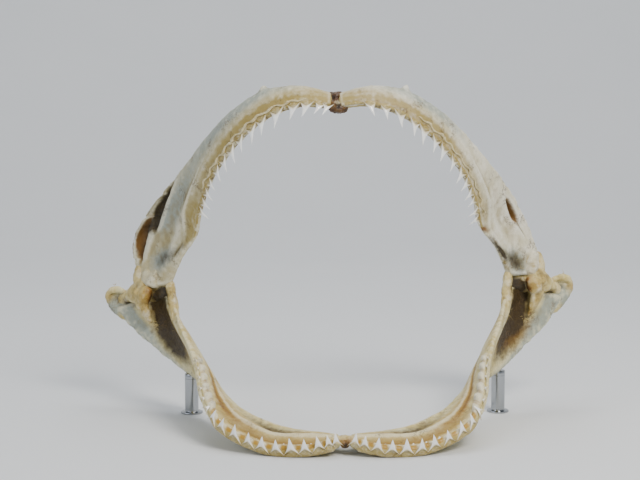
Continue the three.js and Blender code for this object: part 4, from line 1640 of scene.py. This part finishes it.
# Loose fibres at the knob, under the joint, at the lower teeth's end and on the upper plate.
TUFTS = (
    Tuft((146, 146, 79.5), (0.2, -0.2, 1.0), 2.4, 7, 0.7, 1.0, 0.3),
    Tuft((119, 126, 56), (0.0, -0.2, -1.0), 2.6, 14, 0.6, 1.4, 0.26),
    Tuft((104, 111, 61), (0.5, -0.6, -0.6), 3.0, 12, 0.8, 1.6, 0.13),
    Tuft((117, 124, 86), (-0.2, -0.5, 0.8), 2.4, 8, 0.7, 2.2, 0.14),
)


def between(places: tuple[float, ...]) -> tuple[float, ...]:
    """The places midway between neighbours, where a spare row's teeth stand."""
    return tuple((a + b) / 2 for a, b in zip(places, places[1:]))


def joint_tissue(side: int) -> SoftTissue:
    """The ligaments that wrap the hinge between the upper and the lower jaw."""
    cords = (
        Cord(((108, 126, 87), (107.5, 125.5, 80), (106.5, 123.5, 74), (105, 118, 67),
              (104, 110, 60.5)), (2.6, 3.2, 3.2, 3.0, 2.4)),
        Cord(((106, 132, 81), (114, 135, 78), (122, 139, 75), (131, 143, 71)), (5, 6.4, 6.4, 5)),
        Cord(((121, 134, 86), (126, 135, 81), (130.5, 138.5, 77), (135, 142, 72)),
             (4.2, 6.0, 6.4, 5)),
        Cord(((130, 133, 81), (128, 130.5, 75), (125.5, 129.5, 67), (120.5, 127.8, 57)),
             (4.8, 5.2, 4.6, 2.4), 0.6),
        Cord(((128, 139, 96), (129, 139, 90), (129, 138, 83)), (2.6, 3.8, 4.6)),
        Cord(((132, 142, 76), (138, 146, 73), (143, 149.5, 69)), (5.0, 4.6, 4.2)),
        Cord(((122, 129.5, 82.5), (124.5, 128, 77.5), (126.3, 128.5, 71)), (3.2, 4.8, 3.8)),
    )
    spots = (
        Spot(GOLD, (124, 124, 77), 5.0, 0.85), Spot(AMBER, (120.5, 125.5, 74), 3.2, 0.9),
        Spot(AMBER, (121, 127, 80), 3.5, 0.9), Spot(DARK, (115, 127, 73), 6.5, 1.6),
        Spot(GREY, (129, 132, 83), 3.0, 0.7), Spot(GOLD, (124, 126, 64), 7.0, 0.45),
        Spot(AMBER, (121, 125, 58), 3.5, 0.5), Spot(DARK, (112, 129, 76), 5.0, 1.4),
        Spot(DARK, (114, 127, 64), 5.5, 1.5), Spot(DARK, (138, 141, 69), 4.0, 0.8),
        Spot(GOLD, (107, 121, 74), 7.0, 0.35), Spot(DARK, (120, 126, 55), 2.0, 0.6),
    )
    word = SIDE_WORDS[side]
    return SoftTissue(f"joint_ligament_{word}_fused", side, f"joint_ligament_{word}", LIGAMENT,
                      cords, spots, seed=11 + side)


def knob(side: int) -> SoftTissue:
    """The cupped end of the lower jaw behind the joint: a thick rim in front of a hollow wall."""
    word = SIDE_WORDS[side]
    cords = (
        Cord(((149.5, 148.5, 68), (151, 147.5, 71.5), (150.5, 146.5, 75.5), (147.5, 146, 78),
              (143.5, 145.5, 78.4), (139.4, 144.5, 76.4), (135, 143, 73)),
             (2.4, 1.9, 1.9, 2.3, 2.2, 1.9, 2.2)),
        Cord(((149, 150, 68), (147.5, 150.5, 72.5), (143, 149.5, 73.5), (137, 147, 71)),
             (3, 3.8, 4, 3.4)),
        Cord(((149.5, 148.5, 70), (147, 148, 66.5), (143, 146, 62), (137, 142.5, 57)),
             (2.6, 3.2, 3.2, 2.2)),
        Cord(((148, 150, 68), (143, 148.5, 67.5), (136, 145.5, 67)), (3.2, 4, 3.6)),
    )
    spots = (
        Spot(DARK, (143, 145, 72.5), 3.4, 0.75), Spot(GREY, (144, 146, 70), 6.0, 0.9),
        Spot(GREY, (148, 145, 64), 6.0, 0.9), Spot(GOLD, (151, 147, 73), 3.5, 0.5),
        Spot(AMBER, (139, 144, 76), 2.6, 0.55),
    )
    return SoftTissue(f"lower_jaw_{word}_knob", side, f"lower_jaw_{word}", BUTTERY, cords, spots,
                      lump=0.55, wrinkle=0.16, seed=41 + side)


def condyle(side: int) -> SoftTissue:
    """The white end of the upper jaw that comes down over the hinge."""
    word = SIDE_WORDS[side]
    shoulder = Cord(((108.5, 130, 93), (110.5, 129.5, 88), (113, 129, 84)), (3.0, 3.8, 3.6))
    if side == LEFT:
        cords = (
            Cord(((113, 131, 96), (116, 131, 90), (119, 130.5, 85), (120.5, 130, 81.5)),
                 (4.0, 5.0, 5.2, 4.4)),
            Cord(((121, 135.5, 94), (122, 134, 88), (123, 133, 83)), (4.0, 4.8, 4.2)),
            shoulder,
        )
        spots = (Spot(GOLD, (124, 126, 77), 4.5, 0.9), Spot(GOLD, (110, 125, 84), 3.5, 0.6))
    else:
        cords = (
            Cord(((126, 136, 97), (125, 134.5, 91), (123.5, 132.5, 86), (121.5, 131, 82)),
                 (3.4, 4.2, 4.4, 3.4)),
            shoulder,
        )
        spots = (Spot(GOLD, (119, 127, 80), 6.0, 0.95), Spot(GOLD, (110, 125, 84), 4.5, 0.8),
                 Spot(GOLD, (124, 129, 89), 4.5, 0.8))
    return SoftTissue(f"upper_jaw_{word}_condyle", side, f"upper_jaw_{word}", UPPER_FINISH[side],
                      cords, spots, wrinkle=0.08, seed=47 + side, gold=0.0)


def symphysis_tissue() -> tuple[SoftTissue, SoftTissue]:
    """The membranes that join the two halves at the middle of each jaw."""
    upper = SoftTissue(
        "symphysis_upper_membrane", RIGHT, "symphysis_upper", MEMBRANE,
        (Cord(((-4.5, 60, 201), (0.5, 59.5, 199.5), (5.5, 60, 201)), (2.6, 3.2, 2.6)),
         Cord(((-5, 54.5, 196.6), (-0.5, 53.2, 195.2), (3.5, 53.2, 195), (8, 54.6, 196.4)),
              (1.8, 3.4, 3.2, 1.5)),
         Cord(((0.2, 59, 202), (0.6, 56.5, 199), (1.4, 54.5, 196.5)), (2.6, 3.4, 3.2))),
        (Spot(GREY, (1.5, 50.5, 198), 1.8, 1.0), Spot(GOLD, (-1.5, 51, 196), 2.5, 0.5)),
        voxel=0.4, lump=0.9, wrinkle=0.6, seed=23, gold=0.1)
    lower = SoftTissue(
        "symphysis_lower_membrane", RIGHT, "symphysis_lower", MIDLINE,
        (Cord(((-4.5, 6, 7.6), (0, 5.5, 8.4), (4.5, 6, 7.6)), (2.6, 2.4, 2.6)),
         Cord(((-4, 14, 6.6), (0, 15, 6.4), (4, 14, 6.6)), (2.4, 2.0, 2.4)),
         Cord(((-0.6, 2, 6.4), (0.2, 9, 6.8), (0, 19, 6.4)), (1.8, 2.4, 1.6))),
        (Spot(DARK, (0.6, 1, 5.5), 3.0, 1.2), Spot(AMBER, (0.4, 3, 6), 5.0, 0.9),
         Spot(GREY, (0, 8, 9.5), 3.0, 0.5)),
        voxel=0.4, wrinkle=0.45, seed=29)
    return upper, lower


def main() -> None:
    """Builds the specimen class by class."""
    logging.basicConfig(level=logging.INFO, format="%(name)s %(message)s")
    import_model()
    low, high = (np.array(corner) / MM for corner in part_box("stand_post_left"))
    middle = (low + high) / 2
    layout = Layout((middle[0] + LEFT_POST[0], middle[1] - LEFT_POST[1], 0.0))
    Studio().build(layout)
    for side in (LEFT, RIGHT):
        word = SIDE_WORDS[side]
        lower_marks, upper_marks = SIDE_MARKS[side]
        lower = JawBone(side=side, marks=LOWER_MARKS + lower_marks, seed=3 + side,
                        finish=BUTTERY, **LOWER_SHAPE)
        upper = JawBone(side=side, marks=UPPER_MARKS + upper_marks, seed=13 + side,
                        flare=FLARE[side], finish=UPPER_FINISH[side],
                        notches=(PROCESS, *TEARS[side]), **UPPER_SHAPE)
        carried = lower.build(layout)
        upper.build(layout)
        if side == LEFT:
            TornRim(upper).build(layout)
        for bone, places, front, spare, gum in (
                (upper, UPPER_PLACES[side], UPPER_ROW, UPPER_SPARE, UPPER_GUM),
                (lower, LOWER_PLACES[side], LOWER_ROW, LOWER_SPARE, LOWER_GUM)):
            rows = (ToothRow(places, **front), ToothRow(between(places), **spare))
            Dentition(bone, rows, **gum).build(layout)
        SheathHem(upper, UPPER_PLACES[side], **HEM[side]).build(layout)
        for tissue in (joint_tissue(side), knob(side), condyle(side)):
            tissue.build(layout)
        Post(side).build(carried)
        Fibres(f"frayed_tissue_{word}", side, f"joint_ligament_{word}", LIGAMENT, TUFTS,
               seed=31 + side).build(layout)
    for tissue in symphysis_tissue():
        tissue.build(layout)


if __name__ == "__main__":
    main()
